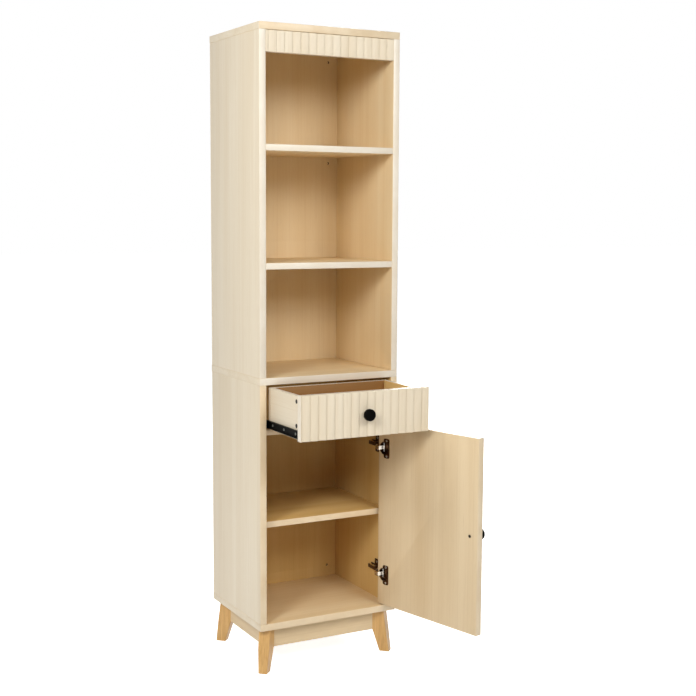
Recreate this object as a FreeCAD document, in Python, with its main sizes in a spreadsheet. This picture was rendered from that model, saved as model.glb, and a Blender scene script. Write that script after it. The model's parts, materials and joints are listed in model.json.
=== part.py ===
import FreeCAD
import Part
import Sketcher
import math
import os
import re

# A tall free-standing cabinet: three open compartments above a drawer and a cupboard, on splayed legs.
# The frame has +Z up and its origin on the floor under the middle of the carcass; the fronts face -Y.
# The drawer is drawn pulled out and the door is drawn open. Lengths are in millimetres, angles in degrees.

SIZES = {
    # carcass
    "cabinet_width": 400,
    "cabinet_depth": 320,
    "leg_height": 116,
    "panel_board": 18,
    "side_board": 18,
    "shelf_board": 16,
    "back_board": 5,
    "back_inset": 1,
    "lower_side_height": 622,
    "upper_side_height": 863,
    # shelves: levels are tops, counted from the panel below
    "middle_shelf_level": 290,
    "upper_shelf_level": 585,
    "cupboard_shelf_level": 263,
    "cupboard_shelf_setback": 26,
    "cupboard_shelf_play": 1,
    # fluted fronts
    "front_board": 18,
    "flute_pitch": 22.4,
    "flute_depth": 4,
    "fascia_height": 53,
    "fascia_gap": 1,
    "drawer_front_height": 112.5,
    "drawer_front_gap": 2,
    "door_top_gap": 3,
    "door_foot_gap": 2.5,
    "door_hinge_gap": 3,
    "door_free_gap": 2,
    "door_hinge_chamfer": 3,
    "rail_setback": 26,
    "rail_depth": 60,
    # drawer box
    "drawer_board": 12,
    "drawer_rear_gap": 112,
    "drawer_side_height": 107,
    "drawer_side_rise": 0.5,
    "drawer_floor_board": 4,
    "drawer_floor_rise": 19,
    "groove_depth": 5,
    "drawer_pull": 193,
    # ball slides between the drawer and the lower sides
    "slide_space": 10.5,
    "slide_setback": 22,
    "slide_rear_gap": 43,
    "slide_rise": 13.5,
    "slide_steel": 1.2,
    "channel_height": 27,
    "channel_reach": 8.3,
    "runner_height": 19.2,
    "runner_reach": 6.9,
    "cage_length": 150,
    "cage_steel": 0.6,
    "cage_clearance": 0.7,
    "cage_reach": 6,
    "ball_play": 0.05,
    "ball_pocket_play": 0.1,
    "ball_offset": 5.6,
    "ball_spacing": 18,
    # hinges: offsets are measured from the right lower side and from the front plane
    "hinge_inset_upper": 72.5,
    "hinge_inset_lower": 83.5,
    "pin_side_offset": 14,
    "pin_front_offset": 9.2,
    "pin_radius": 1.25,
    "pin_play": 0.05,
    "pin_length": 23.8,
    "eye_wall": 1.2,
    "cup_side_offset": 25.5,
    "cup_radius": 17.5,
    "cup_depth": 12.5,
    "cup_wall": 1,
    "cup_floor": 0.8,
    "flange_width": 21,
    "flange_offset": 8,
    "flange_length": 53,
    "flange_steel": 1.2,
    "flange_screw_spacing": 42,
    "arm_width": 10,
    "arm_steel": 2.4,
    "arm_elbow_offset": 31,
    "arm_bridge_setback": 24.4,
    "arm_height": 9,
    "arm_end_setback": 96,
    "plate_steel": 3,
    "plate_setback": 46,
    "plate_spine_width": 14,
    "wing_width": 20,
    "wing_length": 46,
    "wing_setback": 55,
    "wing_screw_spacing": 32,
    "door_open": 103.5,
    # knobs
    "knob_radius": 15,
    "knob_neck_radius": 6.5,
    "knob_neck_length": 11,
    "knob_head_length": 13,
    "knob_rounding": 3.5,
    "door_knob_inset": 25,
    "door_knob_rise": 252,
    # base
    "apron_height": 56,
    "apron_board": 16,
    "apron_setback": 30,
    "leg_width": 31,
    "leg_foot_width": 23,
    "leg_top_inset": 28,
    "leg_foot_inset": 12.5,
    "leg_inner_inset": 59,
    "leg_block_inset": 81,
    "leg_foot_length": 27.5,
    "leg_rounding": 2,
    "bracket_inset": 92,
    "bracket_steel": 3,
    "bracket_height": 36,
    "leg_bolt_radius": 4,
    "leg_bolt_bite": 22,
    "leg_bolt_tail": 12,
    "leg_nut_radius": 8,
    "leg_nut_height": 7,
    # fasteners
    "dowel_radius": 4,
    "dowel_bite": 8,
    "dowel_length": 30,
    "dowel_row_inset": 45,
    "shelf_pin_radius": 2.5,
    "shelf_pin_length": 20,
    "shelf_pin_reach": 9,
    "screw_radius": 1.75,
    "screw_head_radius": 3.4,
    "screw_head_height": 1.2,
    "back_screw_length": 22,
    "back_screw_spacing": 190,
    "slide_screw_length": 10,
    "plate_screw_length": 14,
    "cup_screw_length": 9,
    "cam_radius": 6,
    "cam_depth": 9,
    "cam_setback": 24,
    "cam_low_rise": 33,
    "cam_high_rise": 93,
    "cam_bolt_radius": 2.5,
    "cam_bolt_bite": 8,
    "drawer_screw_length": 35,
    "knob_screw_radius": 2,
    "knob_screw_head_radius": 4,
    "knob_screw_head_height": 2.2,
    "knob_screw_bite": 9,
    # holes for fixing the back panels to a wall
    "wall_hole_radius": 3,
    "wall_hole_inset": 28,
    "wall_hole_drop": 30,
    "wall_hole_lift": 33,
}

X_AXIS = FreeCAD.Vector(1, 0, 0)
Y_AXIS = FreeCAD.Vector(0, 1, 0)
Z_AXIS = FreeCAD.Vector(0, 0, 1)
ORIGIN = FreeCAD.Vector(0, 0, 0)

document = FreeCAD.newDocument("tall_cabinet")
sheet = document.addObject("Spreadsheet::Sheet", "Sizes")
for row, (name, number) in enumerate(SIZES.items(), start=1):
    sheet.set(f"A{row}", name)
    sheet.set(f"B{row}", str(number))
    sheet.setAlias(f"B{row}", name)
document.recompute()

pieces = []


# Helpers that read the sheet and bind objects to it

def qualified(text):
    """Turn the plain size names in a formula into references to the sheet."""
    return re.sub(r"[a-z_]+", lambda word: "Sizes." + word.group(), str(text))


def measure(text):
    """Give the number that a formula of size names stands for."""
    return float(sheet.evalExpression(qualified(text)))


def bind(thing, prop, text):
    thing.setExpression(prop, qualified(text))


def place(thing, x, y, z):
    for axis, text in zip("xyz", (x, y, z)):
        bind(thing, f"Placement.Base.{axis}", text)


def point(x, y, z):
    return FreeCAD.Vector(measure(x), measure(y), measure(z))


def keep(thing, label):
    """Make an object one of the cabinet's pieces under its own label."""
    thing.Label = label
    pieces.append(thing)
    return thing


# Helpers that make shapes

def box(name, corner, extents):
    thing = document.addObject("Part::Box", name)
    for prop, text in zip(("Length", "Width", "Height"), extents):
        bind(thing, prop, text)
    place(thing, *corner)
    return thing


def rod(radius, length, start, direction):
    return Part.makeCylinder(measure(radius), measure(length), start, direction)


def screw(seat, direction, length,
          radius="screw_radius", head="screw_head_radius", rise="screw_head_height"):
    """A screw whose head stands on the seat point and whose shank runs along the direction."""
    shank = rod(radius, length, seat, direction)
    return shank.fuse(rod(head, rise, seat, -direction)).removeSplitter()


def flush_screw(seat, direction, length):
    """A screw whose head is let in, so that it ends level with the seat point."""
    sunk = seat + direction * measure("screw_head_height")
    return screw(sunk, direction, length)


def group(name, solids):
    """Separate solids that share one object, such as a set of equal fasteners."""
    thing = document.addObject("Part::Feature", name)
    thing.Shape = Part.makeCompound(solids)
    return thing


def cut(name, blank, *tools):
    """The blank with room made for every tool; a tool that misses the blank is an error."""
    for number, tool in enumerate(tools, start=1):
        thing = document.addObject("Part::Cut", f"{name}_cut_{number}")
        thing.Base = blank
        thing.Tool = tool
        document.recompute()
        if not thing.Shape.Volume < blank.Shape.Volume:
            raise ValueError(f"{tool.Label} takes nothing from {name}")
        blank = thing
    return blank


def linked(name, source):
    """The same solids as a piece of their own: moving it leaves the source where it makes room in others."""
    thing = document.addObject("Part::Compound", name)
    thing.Links = [source]
    return thing


def new_body(name):
    return document.addObject("PartDesign::Body", name)


def outline(body, plane, points, level=None):
    """A closed sketch of straight lines on one of the body's own planes, lifted to a level if given."""
    sketch = body.newObject("Sketcher::SketchObject", f"{body.Name}_outline")
    support = next(feature for feature in body.Origin.OriginFeatures if feature.Role == plane)
    sketch.AttachmentSupport = [(support, "")]
    sketch.MapMode = "FlatFace"
    if level is not None:
        bind(sketch, "AttachmentOffset.Base.z", level)
    corners = [FreeCAD.Vector(across, along, 0) for across, along in points]
    for start, end in zip(corners, corners[1:] + corners[:1]):
        sketch.addGeometry(Part.LineSegment(start, end))
    for side in range(len(corners)):
        sketch.addConstraint(Sketcher.Constraint("Coincident", side, 2, (side + 1) % len(corners), 1))
    return sketch


def padded(name, plane, points, length, backwards=False):
    """A body made of one sketched outline and its pad."""
    body = new_body(name)
    sketch = outline(body, plane, points)
    pad = body.newObject("PartDesign::Pad", f"{name}_pad")
    pad.Profile = sketch
    bind(pad, "Length", length)
    pad.Reversed = backwards
    sketch.Visibility = False
    document.recompute()
    return body


# Levels and faces that several pieces share, as formulas of the sizes

LEFT = "(0 - cabinet_width / 2)"
FRONT = "(0 - cabinet_depth / 2)"
REAR = "(cabinet_depth / 2)"
INNER_LEFT = "(side_board - cabinet_width / 2)"
INNER_RIGHT = "(cabinet_width / 2 - side_board)"
INNER_WIDTH = "(cabinet_width - 2 * side_board)"
INNER_REAR = "(cabinet_depth / 2 - back_board)"
INNER_DEPTH = "(cabinet_depth - back_board)"
BOTTOM_TOP = "(leg_height + panel_board)"
MIDDLE_UNDER = f"({BOTTOM_TOP} + lower_side_height)"
MIDDLE_TOP = f"({MIDDLE_UNDER} + panel_board)"
TOP_UNDER = f"({MIDDLE_TOP} + upper_side_height)"
DRAWER_FRONT_TOP = f"({MIDDLE_UNDER} - drawer_front_gap)"
DRAWER_FRONT_FOOT = f"({DRAWER_FRONT_TOP} - drawer_front_height)"
DOOR_TOP = f"({DRAWER_FRONT_FOOT} - door_top_gap)"
DOOR_FOOT = f"({BOTTOM_TOP} + door_foot_gap)"
DOOR_HEIGHT = f"({DOOR_TOP} - {DOOR_FOOT})"
DOOR_LEFT = f"({INNER_LEFT} + door_free_gap)"
DOOR_WIDTH = f"({INNER_WIDTH} - door_free_gap - door_hinge_gap)"
FRONT_BACK = f"({FRONT} + front_board)"
DRAWER_SIDE_FOOT = f"({DRAWER_FRONT_FOOT} + drawer_side_rise)"
DRAWER_OUTER = f"({INNER_RIGHT} - slide_space)"
DRAWER_DEPTH = f"({INNER_DEPTH} - front_board - drawer_rear_gap)"
DRAWER_REAR = f"({FRONT_BACK} + {DRAWER_DEPTH})"
SLIDE_LEVEL = f"({DRAWER_SIDE_FOOT} + slide_rise)"
CUPBOARD_SHELF_TOP = f"({BOTTOM_TOP} + cupboard_shelf_level)"
MIDDLE_SHELF_TOP = f"({MIDDLE_TOP} + middle_shelf_level)"
UPPER_SHELF_TOP = f"({MIDDLE_TOP} + upper_shelf_level)"
HINGE_LEVELS = {
    "upper": f"({DOOR_TOP} - hinge_inset_upper)",
    "lower": f"({DOOR_FOOT} + hinge_inset_lower)",
}
UNITS = {"lower": (BOTTOM_TOP, "lower_side_height"), "upper": (MIDDLE_TOP, "upper_side_height")}
SIDES = {"left": -1, "right": 1}

# Placements of the moving pieces: the drawer is pulled along -Y, the door is turned about its hinge pins

PIN_X = f"({INNER_RIGHT} - pin_side_offset)"
PIN_Y = f"({FRONT} + pin_front_offset)"
OPENED = FreeCAD.Placement(
    ORIGIN, FreeCAD.Rotation(Z_AXIS, measure("door_open")), point(PIN_X, PIN_Y, 0)
)


def pull_out(thing, share=1):
    bind(thing, "Placement.Base.y", f"0 - drawer_pull * {share}")
    return thing


def swing_open(thing):
    thing.Placement = OPENED.multiply(thing.Placement)
    return thing


# Dowels: they tie the panels to the ends of the sides, and the fixed shelves, rail and fascia to the sides

dowels = []
SIDE_MIDDLE = "(cabinet_width / 2 - side_board / 2)"
DOWEL_ROWS = (f"{FRONT} + dowel_row_inset", f"{INNER_REAR} - dowel_row_inset")
for hand in SIDES.values():
    for row in DOWEL_ROWS:
        for face, way in ((BOTTOM_TOP, 1), (MIDDLE_UNDER, -1), (MIDDLE_TOP, 1), (TOP_UNDER, -1)):
            start = point(f"{hand} * {SIDE_MIDDLE}", row, f"{face} - {way} * dowel_bite")
            dowels.append(rod("dowel_radius", "dowel_length", start, Z_AXIS * way))
RAIL_LEVEL = f"({DOOR_TOP} - shelf_board / 2)"
FASCIA_LEVEL = f"({TOP_UNDER} - fascia_gap - fascia_height / 2)"
FASCIA_DEEP = f"({FRONT} + flute_depth + (front_board - flute_depth) / 2)"
CROSS_DOWELS = [(row, f"({level} - shelf_board / 2)") for row in DOWEL_ROWS
                for level in (MIDDLE_SHELF_TOP, UPPER_SHELF_TOP)]
CROSS_DOWELS.append((f"{FRONT} + rail_setback + rail_depth / 2", RAIL_LEVEL))
CROSS_DOWELS.append((FASCIA_DEEP, FASCIA_LEVEL))
for hand in SIDES.values():
    for row, level in CROSS_DOWELS:
        start = point(f"{hand} * ({INNER_RIGHT} + dowel_bite)", row, level)
        dowels.append(rod("dowel_radius", "dowel_length", start, X_AXIS * -hand))
carcass_dowels = keep(group("carcass_dowels", dowels), "carcass_dowels")

# Pins under the loose cupboard shelf

pins = []
for hand in SIDES.values():
    for row in DOWEL_ROWS:
        level = f"{CUPBOARD_SHELF_TOP} - shelf_board - shelf_pin_radius"
        start = point(f"{hand} * ({INNER_RIGHT} - shelf_pin_reach)", row, level)
        pins.append(rod("shelf_pin_radius", "shelf_pin_length", start, X_AXIS * hand))
shelf_pins = keep(group("shelf_pins", pins), "shelf_pins")

# Screws of the back panels, in rows up the rear edges of the sides

back_screws = []
for unit, (foot, height) in UNITS.items():
    count = int(measure(f"{height} / back_screw_spacing"))
    for hand in SIDES.values():
        for step in range(count):
            level = f"{foot} + {height} / 2 + ({step} - {count - 1} / 2) * back_screw_spacing"
            seat = point(f"{hand} * {SIDE_MIDDLE}", REAR, level)
            back_screws.append(flush_screw(seat, -Y_AXIS, "back_screw_length"))
back_panel_screws = group("back_panel_screws", back_screws)
keep(back_panel_screws, "back_panel_screws")

# Slides: a channel on the carcass, a runner on the drawer and a cage of balls between them, on each hand

SLIDE_START = f"({FRONT} + slide_setback)"
SLIDE_LENGTH = f"({INNER_DEPTH} - slide_setback - slide_rear_gap)"
RUNNER_SEAT_LENGTH = f"({DRAWER_DEPTH} - drawer_board)"
SLIDE_SCREW_STEPS = (0.12, 0.5, 0.88)


def c_profile(height, reach, steel, hand):
    """Outline of a C section whose web stands at zero and whose lips reach out towards the given hand."""
    half = measure(height) / 2
    tip = measure(reach) * hand
    wall = measure(steel)
    return [
        (0, -half), (tip, -half), (tip, wall - half), (wall * hand, wall - half),
        (wall * hand, half - wall), (tip, half - wall), (tip, half), (0, half),
    ]


channel_screws = []
runner_screws = []
for side, hand in SIDES.items():
    face = f"({hand} * {INNER_RIGHT})"
    channel_profile = c_profile("channel_height", "channel_reach", "slide_steel", -hand)
    channel = padded(f"channel_{side}", "XZ_Plane", channel_profile, SLIDE_LENGTH, True)
    place(channel, face, SLIDE_START, SLIDE_LEVEL)
    runner_profile = c_profile("runner_height", "runner_reach", "slide_steel", hand)
    runner = padded(f"runner_{side}", "XZ_Plane", runner_profile, SLIDE_LENGTH, True)
    place(runner, f"{hand} * {DRAWER_OUTER}", SLIDE_START, SLIDE_LEVEL)
    own_channel_screws = []
    own_runner_screws = []
    for step in SLIDE_SCREW_STEPS:
        row = f"{SLIDE_START} + {SLIDE_LENGTH} * {step}"
        seat = point(f"{hand} * ({INNER_RIGHT} - slide_steel)", row, SLIDE_LEVEL)
        own_channel_screws.append(flush_screw(seat, X_AXIS * hand, "slide_screw_length"))
        row = f"{SLIDE_START} + {RUNNER_SEAT_LENGTH} * {step}"
        seat = point(f"{hand} * ({DRAWER_OUTER} + slide_steel)", row, SLIDE_LEVEL)
        own_runner_screws.append(screw(seat, X_AXIS * -hand, "slide_screw_length"))
    channel_cut = cut(f"channel_{side}", channel, group(f"channel_holes_{side}", own_channel_screws))
    keep(channel_cut, f"slide_channel_{side}")
    runner_cut = cut(f"runner_{side}", runner, group(f"runner_holes_{side}", own_runner_screws))
    keep(pull_out(runner_cut), f"slide_runner_{side}")
    channel_screws += own_channel_screws
    runner_screws += own_runner_screws
slide_channel_screws = keep(group("slide_channel_screws", channel_screws), "slide_channel_screws")
slide_runner_screws = group("slide_runner_screws", runner_screws)
keep(pull_out(slide_runner_screws), "slide_runner_screws")

# Ball cages: each ball runs between a lip of the channel and a lip of the runner

BALL_ROOM = "((channel_height - runner_height) / 2 - slide_steel)"
BALL_RADIUS = f"({BALL_ROOM} / 2 - ball_play)"
BALL_LEVEL = f"(runner_height / 2 + {BALL_ROOM} / 2)"
CAGE_START = f"({SLIDE_START} + {SLIDE_LENGTH} - cage_length)"
for side, hand in SIDES.items():
    cage_profile = c_profile(f"(2 * {BALL_LEVEL} + cage_steel)", "cage_reach", "cage_steel", -hand)
    cage = padded(f"cage_{side}", "XZ_Plane", cage_profile, "cage_length", True)
    place(cage, f"{hand} * ({INNER_RIGHT} - slide_steel - cage_clearance)", CAGE_START, SLIDE_LEVEL)
    balls = []
    pockets = []
    ball_count = int(measure("cage_length / ball_spacing"))
    for step in range(ball_count):
        row = f"{CAGE_START} + cage_length / 2 + ({step} - {ball_count - 1} / 2) * ball_spacing"
        for way in (-1, 1):
            level = f"{SLIDE_LEVEL} + {way} * {BALL_LEVEL}"
            centre = point(f"{hand} * ({INNER_RIGHT} - ball_offset)", row, level)
            balls.append(Part.makeSphere(measure(BALL_RADIUS), centre))
            pockets.append(rod(f"{BALL_RADIUS} + ball_pocket_play", "2 * cage_steel",
                               centre - Z_AXIS * measure("cage_steel"), Z_AXIS))
    cage_cut = cut(f"cage_{side}", cage, group(f"ball_pockets_{side}", pockets))
    keep(pull_out(cage_cut, 0.5), f"ball_cage_{side}")
    keep(pull_out(group(f"balls_{side}", balls), 0.5), f"slide_balls_{side}")

# Hinges: a mounting plate and a cranked arm on the right lower side, a cup with its pin in the door

plate_screws = []
hinge_pins = []
cup_screws = []
cup_rooms = []
CUP_X = f"({INNER_RIGHT} - cup_side_offset)"
CUP_DEEP = f"({FRONT_BACK} - cup_depth)"
FLANGE_X = f"({CUP_X} - flange_offset)"
WING_Y = f"({FRONT} + wing_setback + wing_width / 2)"


def arm_outline():
    """The bent strip from above: out of the cup, round the open door's edge, back along the side panel."""
    steel = measure("arm_steel")
    strip_near = measure("pin_front_offset") - steel / 2
    strip_far = strip_near + steel
    eye = measure("pin_side_offset")
    elbow = measure("arm_elbow_offset")
    bridge = measure("arm_bridge_setback")
    seat = measure("plate_steel")
    crest = seat + measure("arm_height")
    start = measure("plate_setback")
    end = measure("arm_end_setback")
    corners = [
        (eye, strip_near), (elbow, strip_near), (elbow, bridge + steel), (crest, start), (crest, end),
        (seat, end), (seat, start), (crest - steel, bridge + (start - bridge) / 2), (elbow - steel, bridge),
        (elbow - steel, strip_far), (eye, strip_far),
    ]
    return [(-across, along) for across, along in corners]


for name, level in HINGE_LEVELS.items():
    arm = padded(f"arm_{name}", "XY_Plane", arm_outline(), "arm_width")
    place(arm, INNER_RIGHT, FRONT, f"{level} - arm_width / 2")
    pin_foot = point(PIN_X, PIN_Y, f"{level} - pin_length / 2")
    hinge_pins.append(rod("pin_radius", "pin_length", pin_foot, Z_AXIS))
    eye_foot = point(PIN_X, PIN_Y, f"{level} - arm_width / 2")
    eye = group(f"eye_{name}", [rod("pin_radius + pin_play + eye_wall", "arm_width", eye_foot, Z_AXIS)])
    with_eye = document.addObject("Part::Fuse", f"arm_with_eye_{name}")
    with_eye.Base = arm
    with_eye.Tool = eye
    document.recompute()
    bore = group(f"bore_{name}", [rod("pin_radius + pin_play", "arm_width", eye_foot, Z_AXIS)])
    keep(cut(f"arm_{name}", with_eye, bore), f"hinge_arm_{name}")

    plate_face = f"{INNER_RIGHT} - plate_steel"
    spine = box(f"spine_{name}",
                (plate_face, f"{FRONT} + plate_setback", f"{level} - plate_spine_width / 2"),
                ("plate_steel", "arm_end_setback - plate_setback", "plate_spine_width"))
    wings = box(f"wings_{name}",
                (plate_face, f"{FRONT} + wing_setback", f"{level} - wing_length / 2"),
                ("plate_steel", "wing_width", "wing_length"))
    plate = document.addObject("Part::MultiFuse", f"plate_{name}")
    plate.Shapes = [spine, wings]
    plate.Refine = True
    document.recompute()
    own_plate_screws = []
    own_cup_screws = []
    for way in (-1, 1):
        seat = point(plate_face, WING_Y, f"{level} + {way} * wing_screw_spacing / 2")
        own_plate_screws.append(flush_screw(seat, X_AXIS, "plate_screw_length"))
        seat = point(FLANGE_X, f"{FRONT_BACK} + flange_steel", f"{level} + {way} * flange_screw_spacing / 2")
        own_cup_screws.append(flush_screw(seat, -Y_AXIS, "cup_screw_length"))
    plate_cut = cut(f"plate_{name}", plate, group(f"plate_holes_{name}", own_plate_screws))
    keep(plate_cut, f"hinge_plate_{name}")

    cup_wall = rod("cup_radius", "cup_depth", point(CUP_X, CUP_DEEP, level), Y_AXIS)
    cup_rooms.append(cup_wall)
    cup_shell = group(f"cup_shell_{name}", [cup_wall])
    flange = box(f"flange_{name}",
                 (f"{FLANGE_X} - flange_width / 2", FRONT_BACK, f"{level} - flange_length / 2"),
                 ("flange_width", "flange_steel", "flange_length"))
    cup_blank = document.addObject("Part::Fuse", f"cup_blank_{name}")
    cup_blank.Base = cup_shell
    cup_blank.Tool = flange
    cup_hollow = group(f"cup_hollow_{name}", [rod(
        "cup_radius - cup_wall", "cup_depth - cup_floor + flange_steel",
        point(CUP_X, f"{CUP_DEEP} + cup_floor", level), Y_AXIS
    )])
    document.recompute()
    own_pin = group(f"pin_room_{name}", [hinge_pins[-1]])
    cup = cut(f"cup_{name}", cup_blank, cup_hollow, own_pin, group(f"cup_holes_{name}", own_cup_screws))
    keep(swing_open(cup), f"hinge_cup_{name}")
    plate_screws += own_plate_screws
    cup_screws += own_cup_screws
hinge_plate_screws = keep(group("hinge_plate_screws", plate_screws), "hinge_plate_screws")
keep(swing_open(group("pins_of_hinges", hinge_pins)), "hinge_pins")
keep(swing_open(group("screws_of_cups", cup_screws)), "hinge_cup_screws")

# Knobs: turned pieces, each with a neck that is let into the fluted face and a screw from behind


def knob(name):
    """A turned knob whose axis is +Z and whose neck starts at the bottom of the flutes."""
    body = new_body(name)
    neck = measure("knob_neck_radius")
    head = measure("knob_radius")
    rounding = measure("knob_rounding")
    shoulder = measure("flute_depth + knob_neck_length")
    crown = shoulder + measure("knob_head_length")
    sketch = outline(body, "XZ_Plane", [
        (0, 0), (neck, 0), (neck, shoulder - rounding), (head, shoulder + rounding / 2),
        (head, crown - rounding), (head - rounding / 3, crown - rounding / 3), (head - rounding, crown),
        (0, crown),
    ])
    turned = body.newObject("PartDesign::Revolution", f"{name}_turned")
    turned.Profile = sketch
    turned.ReferenceAxis = (sketch, ["V_Axis"])
    turned.Angle = 360
    sketch.Visibility = False
    document.recompute()
    return body


def knob_screw(x, z):
    seat = point(x, FRONT_BACK, z)
    length = "front_board - flute_depth + knob_screw_bite"
    head = "knob_screw_head_radius"
    return screw(seat, -Y_AXIS, length, "knob_screw_radius", head, "knob_screw_head_height")


def knob_neck(x, z):
    """The room that the knob's neck takes up in the fluted face."""
    return rod("knob_neck_radius", "flute_depth", point(x, FRONT, z), Y_AXIS)


TOWARDS_FRONT = FreeCAD.Rotation(X_AXIS, 90)
DOOR_KNOB = (f"{DOOR_LEFT} + door_knob_inset", f"{DOOR_FOOT} + door_knob_rise")
DRAWER_KNOB = ("0", f"({DRAWER_FRONT_FOOT} + drawer_front_height / 2)")
knob_seats = {}
knob_screws = {}
for owner, (x, z) in (("door", DOOR_KNOB), ("drawer", DRAWER_KNOB)):
    blank = knob(f"{owner}_knob_blank")
    blank.Placement = FreeCAD.Placement(point(x, f"{FRONT} + flute_depth", z), TOWARDS_FRONT)
    knob_screws[owner] = group(f"{owner}_knob_screw_blank", [knob_screw(x, z)])
    knob_seats[owner] = group(f"{owner}_knob_seat", [knob_neck(x, z)])
    document.recompute()
    finished = cut(f"{owner}_knob", blank, knob_screws[owner])
    move = swing_open if owner == "door" else pull_out
    keep(move(finished), f"{owner}_knob")

# Fluted boards: each slat rises from its left edge to its right edge and then steps back


def fluted_outline(width, chamfer=0):
    """Plan of a fluted board; the last slat is whole and the first one takes what is left of the width."""
    span = measure(width)
    deep = measure("flute_depth")
    pitch = measure("flute_pitch")
    back = measure("front_board")
    whole = int(span / pitch)
    first = span - whole * pitch
    corners = [(0, back), (0, deep * first / pitch), (first, 0)]
    for slat in range(1, whole + 1):
        edge = first + slat * pitch
        corners.append((edge - pitch, deep))
        corners.append((edge, 0))
    if chamfer:
        slope = deep / pitch
        corners[-1] = (span - chamfer, chamfer * slope)
        corners.append((span, chamfer + chamfer * slope))
    corners.append((span, back))
    return corners


def fluted(name, width, height, corner, chamfer=0):
    body = padded(name, "XY_Plane", fluted_outline(width, chamfer), height)
    place(body, *corner)
    document.recompute()
    return body


fascia = fluted("fascia", INNER_WIDTH, "fascia_height",
                (INNER_LEFT, FRONT, f"{TOP_UNDER} - fascia_gap - fascia_height"))
keep(cut("fascia", fascia, carcass_dowels), "fluted_fascia")

door = fluted("door", DOOR_WIDTH, DOOR_HEIGHT, (DOOR_LEFT, FRONT, DOOR_FOOT), measure("door_hinge_chamfer"))
door_cut = cut("door", door, group("cup_rooms", cup_rooms), group("cup_pilots", cup_screws),
               knob_seats["door"], knob_screws["door"])
keep(swing_open(door_cut), "door_panel")
keep(swing_open(linked("door_knob_screw_set", knob_screws["door"])), "door_knob_screw")

# Drawer: fluted front, two sides, a back and a floor let into grooves

DRAWER_FLOOR = f"({DRAWER_SIDE_FOOT} + drawer_floor_rise)"
DRAWER_INNER = f"({DRAWER_OUTER} - drawer_board)"
floor_board = box("drawer_floor_blank",
                  (f"0 - {DRAWER_INNER} - groove_depth", f"{FRONT_BACK} - groove_depth", DRAWER_FLOOR),
                  (f"2 * ({DRAWER_INNER} + groove_depth)",
                   f"{DRAWER_DEPTH} - drawer_board + 2 * groove_depth",
                   "drawer_floor_board"))
cams = []
cam_bolts = []
drawer_screws = []
for hand in SIDES.values():
    side_middle = f"({hand} * ({DRAWER_OUTER} - drawer_board / 2))"
    for rise in ("cam_low_rise", "cam_high_rise"):
        level = f"{DRAWER_SIDE_FOOT} + {rise}"
        cam_start = point(f"{hand} * {DRAWER_OUTER}", f"{FRONT_BACK} + cam_setback", level)
        cams.append(rod("cam_radius", "cam_depth", cam_start, X_AXIS * -hand))
        bolt_start = point(side_middle, f"{FRONT_BACK} - cam_bolt_bite", level)
        cam_bolts.append(rod("cam_bolt_radius", "cam_bolt_bite + cam_setback", bolt_start, Y_AXIS))
        seat = point(side_middle, DRAWER_REAR, level)
        drawer_screws.append(flush_screw(seat, -Y_AXIS, "drawer_screw_length"))
bolts = group("drawer_cam_bolts_blank", cam_bolts)
cam_blank = group("drawer_cams_blank", cams)
rear_screws = group("drawer_screws_blank", drawer_screws)
runner_pilots = group("runner_pilots", runner_screws)
document.recompute()

front = fluted("front", f"{INNER_WIDTH} - 2 * drawer_front_gap", "drawer_front_height",
               (f"{INNER_LEFT} + drawer_front_gap", FRONT, DRAWER_FRONT_FOOT))
front_cut = cut("front", front, floor_board, bolts, knob_seats["drawer"], knob_screws["drawer"])
keep(pull_out(front_cut), "drawer_front")
for side, hand in SIDES.items():
    corner_x = f"{hand} * ({DRAWER_OUTER} - drawer_board / 2) - drawer_board / 2"
    blank = box(f"drawer_side_blank_{side}", (corner_x, FRONT_BACK, DRAWER_SIDE_FOOT),
                ("drawer_board", f"{DRAWER_DEPTH} - drawer_board", "drawer_side_height"))
    document.recompute()
    finished = cut(f"drawer_side_{side}", blank, floor_board, cam_blank, bolts, rear_screws, runner_pilots)
    keep(pull_out(finished), f"drawer_side_{side}")
back_blank = box("drawer_back_blank",
                 (f"0 - {DRAWER_OUTER}", f"{DRAWER_REAR} - drawer_board", DRAWER_SIDE_FOOT),
                 (f"2 * {DRAWER_OUTER}", "drawer_board", "drawer_side_height"))
document.recompute()
keep(pull_out(cut("drawer_back", back_blank, floor_board, rear_screws)), "drawer_back")
keep(pull_out(cut("drawer_cams", cam_blank, bolts)), "drawer_cam_locks")
keep(pull_out(linked("drawer_cam_bolts_set", bolts)), "drawer_cam_bolts")
keep(pull_out(linked("drawer_screws_set", rear_screws)), "drawer_back_screws")
keep(pull_out(linked("drawer_knob_screw_set", knob_screws["drawer"])), "drawer_knob_screw")
keep(pull_out(linked("drawer_floor_set", floor_board)), "drawer_bottom")

# Carcass boards

panel_levels = {"bottom_panel": "leg_height", "middle_panel": MIDDLE_UNDER, "top_panel": TOP_UNDER}
for label, level in panel_levels.items():
    blank = box(f"{label}_blank", (LEFT, FRONT, level), ("cabinet_width", "cabinet_depth", "panel_board"))
    document.recompute()
    keep(cut(label, blank, carcass_dowels), label)

for unit, (foot, height) in UNITS.items():
    for side, hand in SIDES.items():
        corner_x = f"{hand} * {SIDE_MIDDLE} - side_board / 2"
        extents = ("side_board", INNER_DEPTH, height)
        blank = box(f"{unit}_side_blank_{side}", (corner_x, FRONT, foot), extents)
        document.recompute()
        tools = [carcass_dowels, back_panel_screws]
        if unit == "lower":
            tools += [shelf_pins, slide_channel_screws]
            if side == "right":
                tools.append(hinge_plate_screws)
        keep(cut(f"{unit}_side_{side}", blank, *tools), f"{unit}_side_{side}")

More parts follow.
